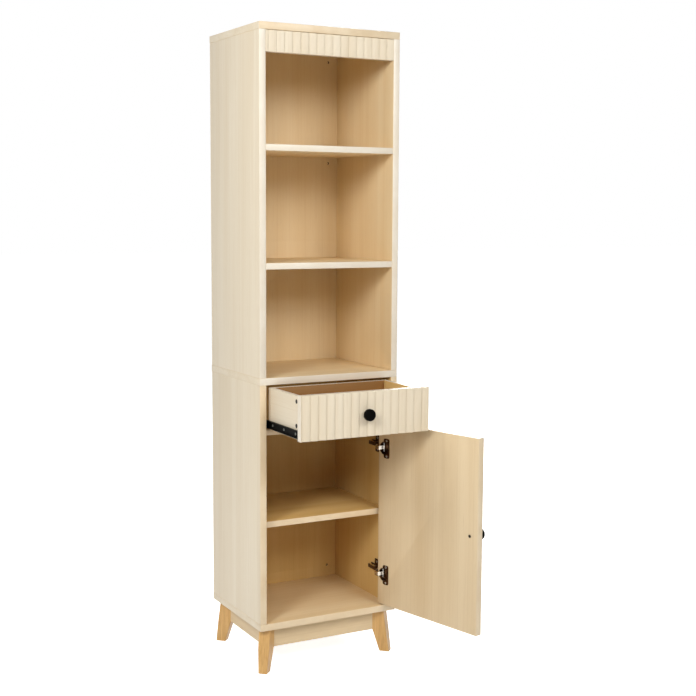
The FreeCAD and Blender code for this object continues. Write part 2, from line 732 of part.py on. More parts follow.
shelf_tops = {"middle_shelf": MIDDLE_SHELF_TOP, "upper_shelf": UPPER_SHELF_TOP}
for label, level in shelf_tops.items():
    blank = box(f"{label}_blank", (INNER_LEFT, FRONT, f"{level} - shelf_board"),
                (INNER_WIDTH, INNER_DEPTH, "shelf_board"))
    document.recompute()
    keep(cut(label, blank, carcass_dowels), label)

rail = box("rail_blank", (INNER_LEFT, f"{FRONT} + rail_setback", f"{DOOR_TOP} - shelf_board"),
           (INNER_WIDTH, "rail_depth", "shelf_board"))
document.recompute()
keep(cut("drawer_rail", rail, carcass_dowels), "drawer_rail")

loose_shelf = box("cupboard_shelf_blank",
                  (f"{INNER_LEFT} + cupboard_shelf_play", f"{FRONT} + cupboard_shelf_setback",
                   f"{CUPBOARD_SHELF_TOP} - shelf_board"),
                  (f"{INNER_WIDTH} - 2 * cupboard_shelf_play",
                   f"{INNER_DEPTH} - cupboard_shelf_setback - cupboard_shelf_play", "shelf_board"))
keep(loose_shelf, "cupboard_shelf")

# Back panels, screwed to the rear edges of the sides and drilled for fixing to a wall

WALL_HOLE_LEVELS = {
    "upper": (f"{TOP_UNDER} - wall_hole_drop", f"{UPPER_SHELF_TOP} - shelf_board - wall_hole_drop / 2"),
    "lower": (f"{BOTTOM_TOP} + wall_hole_lift",),
}
for unit, (foot, height) in UNITS.items():
    blank = box(f"{unit}_back_blank", (f"{LEFT} + back_inset", INNER_REAR, foot),
                ("cabinet_width - 2 * back_inset", "back_board", height))
    holes = []
    for hand in SIDES.values():
        for level in WALL_HOLE_LEVELS[unit]:
            start = point(f"{hand} * ({INNER_RIGHT} - wall_hole_inset)", INNER_REAR, level)
            holes.append(rod("wall_hole_radius", "back_board", start, Y_AXIS))
    document.recompute()
    finished = cut(f"{unit}_back_panel", blank, back_panel_screws, group(f"{unit}_wall_holes", holes))
    keep(finished, f"{unit}_back_panel")

# Base: four tapered legs set at 45 degrees in the corners, and aprons whose ends lie on their blocks

CORNERS = {
    "front_left": (-1, -1),
    "front_right": (1, -1),
    "rear_left": (-1, 1),
    "rear_right": (1, 1),
}
brackets = []
leg_bolts = []
leg_nuts = []


def leg_section(body, level, outer, inner, width):
    """A rectangle across the leg; outer and inner are counted from the carcass corner along the diagonal."""
    half = measure(width) / 2
    near = -measure(outer)
    far = -measure(inner)
    corners = [(far, -half), (near, -half), (near, half), (far, half)]
    return outline(body, "XY_Plane", corners, f"0 - {level}")


def leg(name):
    """A tapered leg whose upper block runs inward between the ends of two aprons."""
    body = new_body(name)
    foot_inner = "leg_foot_inset + leg_foot_length"
    waist_outer = "(leg_top_inset + (leg_foot_inset - leg_top_inset) * apron_height / leg_height)"
    sections = [
        leg_section(body, "0", "leg_top_inset", "leg_inner_inset", "leg_width"),
        leg_section(body, "apron_height", waist_outer, "leg_inner_inset", "leg_width"),
        leg_section(body, "leg_height", "leg_foot_inset", foot_inner, "leg_foot_width"),
    ]
    document.recompute()
    loft = body.newObject("PartDesign::AdditiveLoft", f"{name}_loft")
    loft.Profile = sections[0]
    loft.Sections = sections[1:]
    loft.Ruled = True
    document.recompute()
    long_edges = [f"Edge{number}" for number, edge in enumerate(loft.Shape.Edges, start=1)
                  if edge.BoundBox.ZLength > 1]
    rounded = body.newObject("PartDesign::Fillet", f"{name}_rounded")
    rounded.Base = (loft, long_edges)
    bind(rounded, "Radius", "leg_rounding")
    block = body.newObject("PartDesign::Pad", f"{name}_block")
    block_outer = "(leg_top_inset + leg_inner_inset) / 2"
    block.Profile = leg_section(body, "0", block_outer, "leg_block_inset", "leg_width")
    bind(block, "Length", "apron_height")
    block.Reversed = True
    for sketch in sections + [block.Profile[0]]:
        sketch.Visibility = False
    document.recompute()
    return body


def corner_solids(corner, outward):
    """The steel bracket across a corner of the base, and the bolt and nut that draw the leg to it."""
    inset = measure("bracket_inset")
    steel = measure("bracket_steel")
    across = FreeCAD.Vector(-outward.y, outward.x, 0)
    frame_corner = math.sqrt(2) * measure("apron_setback + apron_board")
    foot = corner - Z_AXIS * measure("(apron_height + bracket_height) / 2")
    plan = []
    for depth, way in ((inset, -1), (inset, 1), (inset + steel, 1), (inset + steel, -1)):
        plan.append(foot - outward * depth + across * way * (depth - frame_corner))
    bracket = Part.Face(Part.makePolygon(plan + plan[:1])).extrude(Z_AXIS * measure("bracket_height"))
    middle = corner - Z_AXIS * measure("apron_height / 2")
    tail = middle - outward * (inset + steel + measure("leg_bolt_tail"))
    reach = "bracket_inset + bracket_steel + leg_bolt_tail - leg_block_inset + leg_bolt_bite"
    bolt = rod("leg_bolt_radius", reach, tail, outward)
    nut_start = middle - outward * (inset + steel)
    nut_plan = []
    for turn in range(6):
        angle = math.radians(60 * turn)
        spoke = across * math.cos(angle) + Z_AXIS * math.sin(angle)
        nut_plan.append(nut_start + spoke * measure("leg_nut_radius"))
    nut = Part.Face(Part.makePolygon(nut_plan + nut_plan[:1])).extrude(-outward * measure("leg_nut_height"))
    return bracket.cut(bolt), bolt, nut.cut(bolt)


for name, (hand, depth_way) in CORNERS.items():
    corner = point(f"{hand} * cabinet_width / 2", f"{depth_way} * cabinet_depth / 2", "leg_height")
    outward = FreeCAD.Vector(hand, depth_way, 0).normalize()
    bracket, bolt, nut = corner_solids(corner, outward)
    brackets.append(bracket)
    leg_bolts.append(bolt)
    leg_nuts.append(nut)
    blank = leg(f"leg_blank_{name}")
    turn = math.degrees(math.atan2(depth_way, hand))
    blank.Placement = FreeCAD.Placement(corner, FreeCAD.Rotation(Z_AXIS, turn))
    document.recompute()
    keep(cut(f"leg_{name}", blank, group(f"leg_bolt_room_{name}", [bolt])), f"leg_{name}")
keep(group("leg_brackets_set", brackets), "leg_brackets")
keep(group("leg_bolts_set", leg_bolts), "leg_bolts")
keep(group("leg_nuts_set", leg_nuts), "leg_nuts")

APRONS = {
    "front": ("cabinet_width / 2", ("0", FRONT), 0),
    "right": ("cabinet_depth / 2", ("cabinet_width / 2", "0"), 90),
    "rear": ("cabinet_width / 2", ("0", REAR), 180),
    "left": ("cabinet_depth / 2", (LEFT, "0"), 270),
}
for side, (half_span, (x, y), turn) in APRONS.items():
    half = measure(half_span)
    outer = measure("apron_setback")
    inner = outer + measure("apron_board")
    leg_side = math.sqrt(2) * measure("leg_width") / 2
    plan = [
        (outer + leg_side - half, outer), (half - outer - leg_side, outer),
        (half - inner - leg_side, inner), (inner + leg_side - half, inner),
    ]
    apron = padded(f"apron_{side}", "XY_Plane", plan, "apron_height")
    foot = point(x, y, "leg_height - apron_height")
    apron.Placement = FreeCAD.Placement(foot, FreeCAD.Rotation(Z_AXIS, turn))
    keep(apron, f"base_apron_{side}")

# Check every object, then write one file for each piece

document.recompute()
for thing in document.Objects:
    if "Invalid" in thing.State or "Error" in thing.State:
        raise ValueError(f"{thing.Label} did not compute: {thing.State}")
os.makedirs("parts", exist_ok=True)
for piece in pieces:
    shape = piece.Shape
    if shape.isNull() or not shape.isValid() or not shape.Solids:
        raise ValueError(f"{piece.Label} has no valid solid")
    shape.exportStep(f"parts/{piece.Label}.step")
    print(f"{piece.Label}: {len(shape.Solids)} solid(s), {shape.Volume / 1000:.2f} cm3")
print(f"{len(pieces)} pieces written")
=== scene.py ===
# %% [markdown]
# # A tall cabinet: open shelves, a drawer and a cupboard on splayed legs
# The construction of the cabinet is finished before this lesson starts: every board, slide, hinge and screw
# has its size and its place. What is missing is the look. Step by step, this lesson eases the edges of the
# boards, cuts the flutes of the fronts, turns the knobs, presses the hinges and gives each piece its finish.
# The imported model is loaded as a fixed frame, and each new piece rides on one of its bodies.

# %% The fixed frame
import json
import math
from functools import partial

import bmesh
import bpy
from mathutils import Matrix, Vector


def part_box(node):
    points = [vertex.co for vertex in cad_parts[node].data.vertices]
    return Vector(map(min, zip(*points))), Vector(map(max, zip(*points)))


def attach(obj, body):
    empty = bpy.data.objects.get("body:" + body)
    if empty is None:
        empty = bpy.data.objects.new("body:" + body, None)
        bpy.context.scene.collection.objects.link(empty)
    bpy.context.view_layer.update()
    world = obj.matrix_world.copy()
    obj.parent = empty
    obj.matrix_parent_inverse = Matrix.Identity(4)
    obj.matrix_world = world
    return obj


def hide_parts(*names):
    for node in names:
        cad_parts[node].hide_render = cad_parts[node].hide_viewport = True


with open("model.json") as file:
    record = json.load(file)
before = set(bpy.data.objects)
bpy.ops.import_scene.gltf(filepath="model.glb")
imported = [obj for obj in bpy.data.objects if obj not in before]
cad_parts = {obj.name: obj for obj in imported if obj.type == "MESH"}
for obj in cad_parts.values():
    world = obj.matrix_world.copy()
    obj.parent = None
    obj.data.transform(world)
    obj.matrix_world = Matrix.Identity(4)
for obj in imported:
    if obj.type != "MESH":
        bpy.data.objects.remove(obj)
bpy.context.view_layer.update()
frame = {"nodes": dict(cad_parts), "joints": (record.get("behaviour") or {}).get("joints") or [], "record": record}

MM = 0.001

# %% [markdown]
# ## Who moves with whom
# A drawer side moves with the drawer, a hinge cup with the door. The record of the model lists both the body
# and the finish of every node. A new piece says which node it stands for and rides on that node's body; its
# finishes are given with it. The helper below turns a finished bmesh into such a piece. Its shading is smooth
# only where two faces nearly agree, so that a round knob looks round and the flat of a board stays flat.

# %% From a bmesh to a piece of the cabinet
BODY_OF = {node: body for body, nodes in frame["record"]["behaviour"]["bodies"].items() for node in nodes}
SMOOTH_BELOW = math.radians(25)


def set_piece(name, bm, finishes, *nodes):
    """Make a piece of the bmesh that rides on the first node's body and stands for all the nodes."""
    mesh = bpy.data.meshes.new(name)
    bm.to_mesh(mesh)
    bm.free()
    mesh.polygons.foreach_set("use_smooth", [True] * len(mesh.polygons))
    mesh.set_sharp_from_angle(angle=SMOOTH_BELOW)
    for finish in finishes:
        mesh.materials.append(finish)
    piece = bpy.data.objects.new(name, mesh)
    bpy.context.scene.collection.objects.link(piece)
    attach(piece, BODY_OF[nodes[0]])
    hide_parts(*nodes)
    return piece


# %% [markdown]
# ## Colours and the small parts of a finish
# A colour is easiest to judge as it is seen on a screen, from 0 to 255, but a shader reckons in linear
# light. The function tone converts one into the other. The other helpers add one or two nodes each to a
# material: a noise that is stretched along the grain, a ramp of colours, a tint over a ground colour, a
# range of roughness and a small relief. Patterns read Object coordinates, which are metres here, so that a
# pore is as long on a short board as on a long one.

# %% Tones and empty finishes
def tone(red, green, blue):
    """Linear colour of a tone that is given as it is seen, from 0 to 255."""
    shares = [level / 255 for level in (red, green, blue)]
    linear = [share / 12.92 if share <= 0.04045 else ((share + 0.055) / 1.055) ** 2.4 for share in shares]
    return (*linear, 1.0)


def new_finish(name):
    finish = bpy.data.materials.new(name)
    finish.use_nodes = True
    tree = finish.node_tree
    return finish, tree, tree.nodes["Principled BSDF"]


print("a mid grey of 128 is", round(tone(128, 128, 128)[0], 3), "in linear light")

# %% Noises, ramps and tints
def stretched(tree, scale, shift=0.0):
    """Object coordinates, stretched by a scale for each axis and shifted to another part of the pattern."""
    coordinates = tree.nodes.new("ShaderNodeTexCoord")
    mapping = tree.nodes.new("ShaderNodeMapping")
    mapping.inputs["Scale"].default_value = scale
    mapping.inputs["Location"].default_value = (shift, 2 * shift, 3 * shift)
    tree.links.new(coordinates.outputs["Object"], mapping.inputs["Vector"])
    return mapping.outputs["Vector"]


def noise(tree, place, detail, distortion=0.0):
    """A cloudy amount from 0 to 1; the place is stretched already, so the noise keeps a scale of one."""
    texture = tree.nodes.new("ShaderNodeTexNoise")
    texture.inputs["Scale"].default_value = 1.0
    texture.inputs["Detail"].default_value = detail
    texture.inputs["Distortion"].default_value = distortion
    tree.links.new(place, texture.inputs["Vector"])
    return texture.outputs["Fac"]


def ramp(tree, amount, stops):
    """Colours along a 0 to 1 amount; stops are pairs of a place and a colour."""
    colours = tree.nodes.new("ShaderNodeValToRGB")
    elements = colours.color_ramp.elements
    while len(elements) < len(stops):
        elements.new(0.5)
    for element, (position, colour) in zip(elements, stops):
        element.position = position
        element.color = colour
    tree.links.new(amount, colours.inputs["Fac"])
    return colours.outputs["Color"]


def tint_share(tree, amount, start, full, most):
    """How much of a tint shows: none where the amount is below start, and the most from full on."""
    return ramp(tree, amount, ((start, (0, 0, 0, 1)), (full, (most, most, most, 1))))


def tinted(tree, ground, tint, share):
    """A tint laid over a ground colour, by the share that another node gives."""
    mix = tree.nodes.new("ShaderNodeMix")
    mix.data_type = "RGBA"
    factor, lower, upper = mix.inputs[0], mix.inputs[6], mix.inputs[7]
    tree.links.new(share, factor)
    tree.links.new(ground, lower)
    upper.default_value = tint
    return mix.outputs[2]


print("helpers for patterns: stretched, noise, ramp, tint_share and tinted")

# %% Roughness and relief
NOISE_LOW = 0.25
NOISE_HIGH = 0.75


def spread(tree, amount, low, high):
    """A noise, which seldom leaves its middle half, brought into a range such as a roughness."""
    span = tree.nodes.new("ShaderNodeMapRange")
    span.inputs["From Min"].default_value = NOISE_LOW
    span.inputs["From Max"].default_value = NOISE_HIGH
    span.inputs["To Min"].default_value = low
    span.inputs["To Max"].default_value = high
    tree.links.new(amount, span.inputs["Value"])
    return span.outputs["Result"]


def relief(tree, shader, height, depth, strength):
    """A fine surface relief; depth is in metres."""
    bump = tree.nodes.new("ShaderNodeBump")
    bump.inputs["Strength"].default_value = strength
    bump.inputs["Distance"].default_value = depth
    tree.links.new(height, bump.inputs["Height"])
    tree.links.new(bump.outputs["Normal"], shader.inputs["Normal"])


print("a noise from", NOISE_LOW, "to", NOISE_HIGH, "fills the whole range of a roughness")

# %% [markdown]
# ## The pale board
# The boards are faced with a pale wood print under a satin film. Close up it has three layers: broad bands
# that are a little warmer or cooler, thin grain lines along the board, and short pores. An image of wood
# would do, but it would repeat. Three noises, stretched along the grain by different amounts, give the same
# layers and never repeat. Each board takes its own shift, as if cut from another sheet. The outside has the
# palest print, the board's own. The inside of the open part takes a warmer print. The door's back, the aprons,
# the inside of the cupboard and the drawer's back take warmer and darker ones. These prints paint the shade
# that falls there.

# %% Pale board, with its grain along X, Y or Z
# Only the outer print is the board's own. Open, door, inner and deep are warmer and paint the shade that falls
# inside and under the cabinet, and deep is the darkest.
PRINTS_AND_PAINTED_SHADES = {
    "outer": {"light": tone(234, 221, 197), "deep": tone(227, 211, 183), "line": tone(212, 191, 158)},
    "open": {"light": tone(240, 217, 176), "deep": tone(233, 206, 160), "line": tone(219, 187, 137)},
    "door": {"light": tone(226, 204, 167), "deep": tone(217, 192, 152), "line": tone(200, 171, 128)},
    "inner": {"light": tone(221, 187, 124), "deep": tone(211, 173, 108), "line": tone(193, 153, 88)},
    "deep": {"light": tone(146, 105, 56), "deep": tone(132, 92, 46), "line": tone(115, 78, 37)},
}
BANDS = (16, 0.8)
GRAIN_LINES = (190, 1.8)
PORES = (900, 22)
BATCH_SHIFT = 7.3
pale_boards = {}


def along_grain(grain, across, along):
    """A scale for each axis, in waves per metre: one across the grain and one along it."""
    return tuple(along if axis == grain else across for axis in "XYZ")


def pale_board(grain, batch=0, side="outer"):
    """The board finish for one grain direction; a batch is a different stretch of the same pattern, and a side
    other than the outer one paints shade into the print.
    """
    key = (grain, batch, side)
    if key in pale_boards:
        return pale_boards[key]
    finish, tree, shader = new_finish(f"pale_board_{grain}_{batch}_{side}")
    tones = PRINTS_AND_PAINTED_SHADES[side]
    shift = BATCH_SHIFT * batch
    bands = noise(tree, stretched(tree, along_grain(grain, *BANDS), shift), 2.0, 0.6)
    lines = noise(tree, stretched(tree, along_grain(grain, *GRAIN_LINES), shift), 4.0, 0.3)
    pores = noise(tree, stretched(tree, along_grain(grain, *PORES), shift), 1.0)
    ground = ramp(tree, bands, ((0.3, tones["light"]), (0.7, tones["deep"])))
    lined = tinted(tree, ground, tones["line"], tint_share(tree, lines, 0.5, 0.75, 0.26))
    pored = tinted(tree, lined, tones["line"], tint_share(tree, pores, 0.6, 0.75, 0.3))
    tree.links.new(pored, shader.inputs["Base Color"])
    tree.links.new(spread(tree, lines, 0.42, 0.56), shader.inputs["Roughness"])
    shader.inputs["Specular IOR Level"].default_value = 0.35
    relief(tree, shader, pores, 0.15 * MM, 0.25)
    pale_boards[key] = finish
    return finish


pale_board("Z")
print("pale board finish:", len(pale_boards["Z", 0, "outer"].node_tree.nodes), "nodes")

# %% [markdown]
# ## The edge band
# The cut edges of the boards are closed with a thin strip that is a little glossier than the faces. It is a
# finish of its own, on the narrow faces only, with a faint cloudiness and no pores. The top panel, the door and
# most boards of the lower part have a warm strip, darker than the pale one that the rest have. Its tones
# paint the shade on those edges.

# %% Edge bands
def edge_band(name, light, deep, streak):
    """A glued-on strip: cloudy, finely streaked and smoother than the print."""
    finish, tree, shader = new_finish(name)
    clouds = noise(tree, stretched(tree, (14, 14, 14)), 3.0)
    streaks = noise(tree, stretched(tree, (40, 300, 40), 1.7), 2.0)
    ground = ramp(tree, clouds, ((0.35, light), (0.65, deep)))
    streaked = tinted(tree, ground, streak, tint_share(tree, streaks, 0.55, 0.8, 0.3))
    tree.links.new(streaked, shader.inputs["Base Color"])
    tree.links.new(spread(tree, clouds, 0.34, 0.46), shader.inputs["Roughness"])
    relief(tree, shader, streaks, 0.1 * MM, 0.15)
    return finish


PALE_BAND = edge_band("edge_band_pale", tone(238, 228, 210), tone(233, 221, 200), tone(225, 209, 184))
# The warm band is darker than the pale one: its tones paint the shade on the edges it is laid on.
WARM_BAND_SHADED = edge_band("edge_band_warm_painted_shade", tone(231, 211, 178), tone(224, 201, 165), tone(213, 187, 148))
print("edge bands:", PALE_BAND.name, WARM_BAND_SHADED.name)

# %% [markdown]
# ## Solid wood: legs and dowels
# The legs are solid, honey-coloured and lacquered. Their grain runs up the leg, with wider growth bands than
# the print on the boards and a soft waviness. The dowels are plain beech with short dark flecks. Where a
# board is drilled, the brown chips of its core show, painted very dark for the shade inside the hole.

# %% Solid wood
GLOSS_DRIFT = 0.14


def solid_wood(name, light, deep, line, gloss):
    """Lacquered solid wood with upright grain; gloss is the lowest roughness of the lacquer."""
    finish, tree, shader = new_finish(name)
    growth = noise(tree, stretched(tree, (45, 45, 3)), 3.0, 0.8)
    lines = noise(tree, stretched(tree, (260, 260, 9), 2.1), 3.0)
    flecks = noise(tree, stretched(tree, (700, 700, 60), 4.9), 1.0)
    ground = ramp(tree, growth, ((0.3, light), (0.55, deep), (0.75, light)))
    lined = tinted(tree, ground, line, tint_share(tree, lines, 0.48, 0.75, 0.6))
    flecked = tinted(tree, lined, line, tint_share(tree, flecks, 0.62, 0.75, 0.4))
    tree.links.new(flecked, shader.inputs["Base Color"])
    tree.links.new(spread(tree, lines, gloss, gloss + GLOSS_DRIFT), shader.inputs["Roughness"])
    relief(tree, shader, flecks, 0.1 * MM, 0.2)
    return finish


def core_with_painted_shade():
    """The brown chips that show where a board is drilled, painted very dark for the shade inside the holes."""
    finish, tree, shader = new_finish("board_core_painted_shade")
    chips = noise(tree, stretched(tree, (600, 600, 600)), 3.0)
    colour = ramp(tree, chips, ((0.35, tone(40, 26, 14)), (0.65, tone(76, 52, 30))))
    tree.links.new(colour, shader.inputs["Base Color"])
    tree.links.new(spread(tree, chips, 0.8, 0.95), shader.inputs["Roughness"])
    relief(tree, shader, chips, 0.3 * MM, 0.5)
    return finish


# The core's very dark tone is partly painted shade, for the insides of the holes.
CORE_PAINTED_SHADE = core_with_painted_shade()
LEG_WOOD = solid_wood("leg_wood", tone(221, 180, 117), tone(206, 161, 96), tone(180, 133, 73), 0.32)
DOWEL_WOOD = solid_wood("dowel_wood", tone(220, 190, 148), tone(206, 172, 128), tone(172, 134, 92), 0.55)
print("solid woods:", LEG_WOOD.name, DOWEL_WOOD.name)

# %% [markdown]
# ## Metal and paint
# The knobs are painted black, with the fine orange peel of sprayed paint. The slides are black sheet steel,
# rubbed a little lighter in streaks along their travel. The hinges are pressed steel with a nickel plate. Its
# colour is painted dark warm brown for the shade and dark reflections on it, and the links are painted pale
# for a highlight. Screws and brackets are zinc plated, with a faint spangle. The screws of the knobs and the
# runners and the drawer's cam locks are painted darker for the shade they sit in.

# %% Black paint and black steel
def black_paint():
    finish, tree, shader = new_finish("black_knob_paint")
    peel = noise(tree, stretched(tree, (420, 420, 420)), 2.0)
    dust = noise(tree, stretched(tree, (90, 90, 90), 3.1), 4.0)
    colour = ramp(tree, dust, ((0.4, tone(2, 2, 2)), (0.75, tone(8, 7, 6))))
    tree.links.new(colour, shader.inputs["Base Color"])
    tree.links.new(spread(tree, dust, 0.3, 0.44), shader.inputs["Roughness"])
    shader.inputs["Specular IOR Level"].default_value = 0.03
    relief(tree, shader, peel, 0.08 * MM, 0.2)
    return finish


def black_steel():
    finish, tree, shader = new_finish("black_slide_steel")
    rubs = noise(tree, stretched(tree, (500, 9, 500)), 3.0)
    clouds = noise(tree, stretched(tree, (60, 60, 60), 5.3), 3.0)
    colour = ramp(tree, rubs, ((0.45, tone(6, 7, 6)), (0.7, tone(13, 15, 13)), (0.85, tone(38, 41, 37))))
    tree.links.new(colour, shader.inputs["Base Color"])
    tree.links.new(spread(tree, clouds, 0.34, 0.5), shader.inputs["Roughness"])
    shader.inputs["Specular IOR Level"].default_value = 0.02
    relief(tree, shader, rubs, 0.05 * MM, 0.15)
    return finish


BLACK_PAINT = black_paint()
BLACK_STEEL = black_steel()
print("black finishes:", BLACK_PAINT.name, BLACK_STEEL.name)

# %% Plated steel
def plated(name, light, deep, grain_scale, low, high):
    """Plated steel: a metal whose tone and roughness drift in fine grains."""
    finish, tree, shader = new_finish(name)
    grains = noise(tree, stretched(tree, (grain_scale, grain_scale, grain_scale)), 3.0)
    scuffs = noise(tree, stretched(tree, (80, 80, 700), 6.7), 2.0)
    colour = ramp(tree, grains, ((0.35, deep), (0.65, light)))
    tree.links.new(colour, shader.inputs["Base Color"])
    tree.links.new(spread(tree, scuffs, low, high), shader.inputs["Roughness"])
    shader.inputs["Metallic"].default_value = 1.0
    relief(tree, shader, scuffs, 0.03 * MM, 0.12)
    return finish


# The dark brown hinge plate paints the shade and dark reflections on the nickel; the pale link plate paints a
# highlight.
HINGE_NICKEL_SHADED = plated("hinge_nickel_painted_shade", tone(104, 78, 56), tone(66, 46, 32), 160, 0.26, 0.42)
HINGE_NICKEL_HIGHLIGHT = plated("hinge_link_painted_highlight", tone(236, 228, 214), tone(214, 204, 188), 160, 0.2, 0.34)
ZINC = plated("zinc_steel", tone(206, 205, 200), tone(176, 175, 170), 260, 0.28, 0.46)
# The darker screw steels paint the shade that these screws sit in: inside the drawer, beside it and on the door's
# back.
DARK_ZINC_SHADED = plated("dark_screw_steel_painted_shade", tone(74, 68, 60), tone(48, 43, 38), 260, 0.3, 0.46)
DULL_ZINC_SHADED = plated("dull_screw_steel_painted_shade", tone(136, 136, 130), tone(104, 104, 98), 260, 0.34, 0.5)
BALL_STEEL = plated("ball_steel", tone(226, 226, 228), tone(206, 206, 208), 300, 0.08, 0.16)
print("plated finishes, the darkest:", DARK_ZINC_SHADED.name, "and the smoothest:", BALL_STEEL.name)

# %% [markdown]
# ## Boards with eased edges
# A real board has no razor edge: the corners are eased by about a millimetre, and there the light draws the
# thin bright or dark lines that make furniture look built. A cube is scaled to the node's box and all its
# edges are bevelled. The faces that carry the edge band, or another print than the outside, are picked by
# the way they look.

# %% Eased boards
BOARD_EASE = 0.9 * MM
FRONT = Vector((0, -1, 0))
BACK = Vector((0, 1, 0))
LEFT = Vector((-1, 0, 0))
RIGHT = Vector((1, 0, 0))
UP = Vector((0, 0, 1))
DOWN = Vector((0, 0, -1))
SAME_WAY = 0.7


def ease_edges(bm, edges, width, steps=2):
    bmesh.ops.bevel(bm, geom=edges, offset=width, offset_type="OFFSET", segments=steps, profile=0.5,
                    affect="EDGES", material=-1)


def block(low, high):
    """A bmesh box between two corners."""
    bm = bmesh.new()
    bmesh.ops.create_cube(bm, size=1.0)
    bmesh.ops.scale(bm, vec=high - low, verts=bm.verts)
    bmesh.ops.translate(bm, vec=(low + high) / 2, verts=bm.verts)
    return bm


def lay_finish(bm, slot, ways):
    """Give a material slot to the faces that look one of these ways."""
    bm.normal_update()
    for face in bm.faces:
        if any(face.normal.dot(way) > SAME_WAY for way in ways):
            face.material_index = slot


def eased_board(node, grain, batch, band, banded, side, sided):
    """A board with a band on the faces that look the banded ways, and the side's print, which paints the shade
    inside, on the sided ways.
    """
    bm = block(*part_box(node))
    ease_edges(bm, bm.edges[:], BOARD_EASE)
    lay_finish(bm, 1, banded)
    lay_finish(bm, 2, sided)
    finishes = (pale_board(grain, batch), band, pale_board(grain, batch, side))
    return set_piece(f"{node}_board", bm, finishes, node)


# Columns: grain, batch, band, banded ways, print, sided ways. The print on the sided faces paints the shade inside
# the cabinet, deepest on the drawer's back.
BOARDS = {
    "top_panel": ("X", 1, WARM_BAND_SHADED, (FRONT,), "open", (DOWN,)),
    "middle_panel": ("X", 2, PALE_BAND, (FRONT,), "open", (UP, DOWN)),
    "bottom_panel": ("X", 3, WARM_BAND_SHADED, (FRONT,), "open", (UP,)),
    "upper_side_left": ("Z", 1, PALE_BAND, (FRONT,), "open", (RIGHT,)),
    "upper_side_right": ("Z", 2, PALE_BAND, (FRONT,), "open", (LEFT,)),
    "lower_side_left": ("Z", 3, WARM_BAND_SHADED, (FRONT,), "inner", (RIGHT,)),
    "lower_side_right": ("Z", 4, WARM_BAND_SHADED, (FRONT,), "inner", (LEFT,)),
    "upper_shelf": ("X", 4, PALE_BAND, (FRONT,), "open", (UP, DOWN)),
    "middle_shelf": ("X", 5, PALE_BAND, (FRONT,), "open", (UP, DOWN)),
    "cupboard_shelf": ("X", 6, WARM_BAND_SHADED, (FRONT,), "inner", (UP, DOWN)),
    "drawer_rail": ("X", 7, WARM_BAND_SHADED, (FRONT,), "inner", (UP, DOWN)),
    "drawer_side_left": ("Y", 1, PALE_BAND, (UP,), "inner", (RIGHT,)),
    "drawer_side_right": ("Y", 2, PALE_BAND, (UP,), "inner", (LEFT,)),
    "drawer_back": ("X", 8, PALE_BAND, (UP,), "deep", (FRONT,)),
}
for node, ways in BOARDS.items():
    eased_board(node, *ways)
print("eased boards:", len(BOARDS))

# %% [markdown]
# ## The door in its frame
# The door is drawn open, so its node is turned about the hinge pins. Shapes are easier to make with the door
# shut and square to the axes. The joint gives the pins' axis and how far the door is open, and from these
# comes one matrix, OPENED, that swings a finished shape out to where it belongs.

# %% Door shut and door open
door_hinge = next(joint for joint in frame["joints"] if joint["name"] == "door_hinge")
PIN = Vector(door_hinge["pos_m"])
DOOR_SWING = -math.radians(door_hinge["range_deg"][0])
OPENED = Matrix.Translation(PIN) @ Matrix.Rotation(DOOR_SWING, 4, "Z") @ Matrix.Translation(-PIN)


def shut_box(node):
    """Lowest and highest corner of a door node, as it lies when the door is shut."""
    shut = OPENED.inverted()
    points = [shut @ vertex.co for vertex in frame["nodes"][node].data.vertices]
    low = Vector([min(spot[axis] for spot in points) for axis in range(3)])
    high = Vector([max(spot[axis] for spot in points) for axis in range(3)])
    return low, high


print("the door is open by", round(math.degrees(DOOR_SWING)), "degrees")

# %% [markdown]
# ## Fluted fronts
# The fascia, the drawer front and the door have slats that rise from one edge to the other and then step
# back, like weatherboards stood on end. The plan of such a board is a saw: it is laid out as one face, drawn
# up to the board's height, and its outward edges are eased. The last slat is whole and the first takes what
# is left of the width, so the three fronts line up at their right ends.

# %% The saw-shaped plan, drawn up
FLUTE_PITCH = 22.4 * MM
FLUTE_DEPTH = 4 * MM
FLUTE_EASE = 0.6 * MM
SHARP_EDGE = math.radians(30)


def fluted_board(low, high, chamfer=0.0):
    """A board between two corners, fluted on the front; a chamfer takes off its right front edge."""
    span = high.x - low.x
    whole = int(span / FLUTE_PITCH)
    first = span - whole * FLUTE_PITCH
    plan = [(0, high.y - low.y), (0, FLUTE_DEPTH * first / FLUTE_PITCH), (first, 0)]
    for slat in range(whole):
        start = first + slat * FLUTE_PITCH
        plan += [(start, FLUTE_DEPTH), (start + FLUTE_PITCH, 0)]
    if chamfer:
        set_back = chamfer * FLUTE_DEPTH / FLUTE_PITCH
        plan[-1] = (span - chamfer, set_back)
        plan.append((span, chamfer + set_back))
    plan.append((span, high.y - low.y))
    bm = bmesh.new()
    foot = bm.faces.new([bm.verts.new((low.x + x, low.y + y, low.z)) for x, y in plan])
    drawn = bmesh.ops.extrude_face_region(bm, geom=[foot])
    raised = [item for item in drawn["geom"] if isinstance(item, bmesh.types.BMVert)]
    bmesh.ops.translate(bm, vec=UP * (high.z - low.z), verts=raised)
    bmesh.ops.recalc_face_normals(bm, faces=bm.faces)
    outward = [edge for edge in bm.edges if edge.calc_face_angle_signed(0) > SHARP_EDGE]
    ease_edges(bm, outward, FLUTE_EASE)
    return bm


def finish_ends(bm, right_end):
    """Edge band on the four narrow sides, a print with painted shade on the back; the steps keep the outer one."""
    lay_finish(bm, 1, (UP, DOWN, LEFT))
    lay_finish(bm, 2, (BACK,))
    for face in bm.faces:
        if face.normal.dot(RIGHT) > SAME_WAY and face.calc_center_median().x > right_end - FLUTE_EASE:
            face.material_index = 1


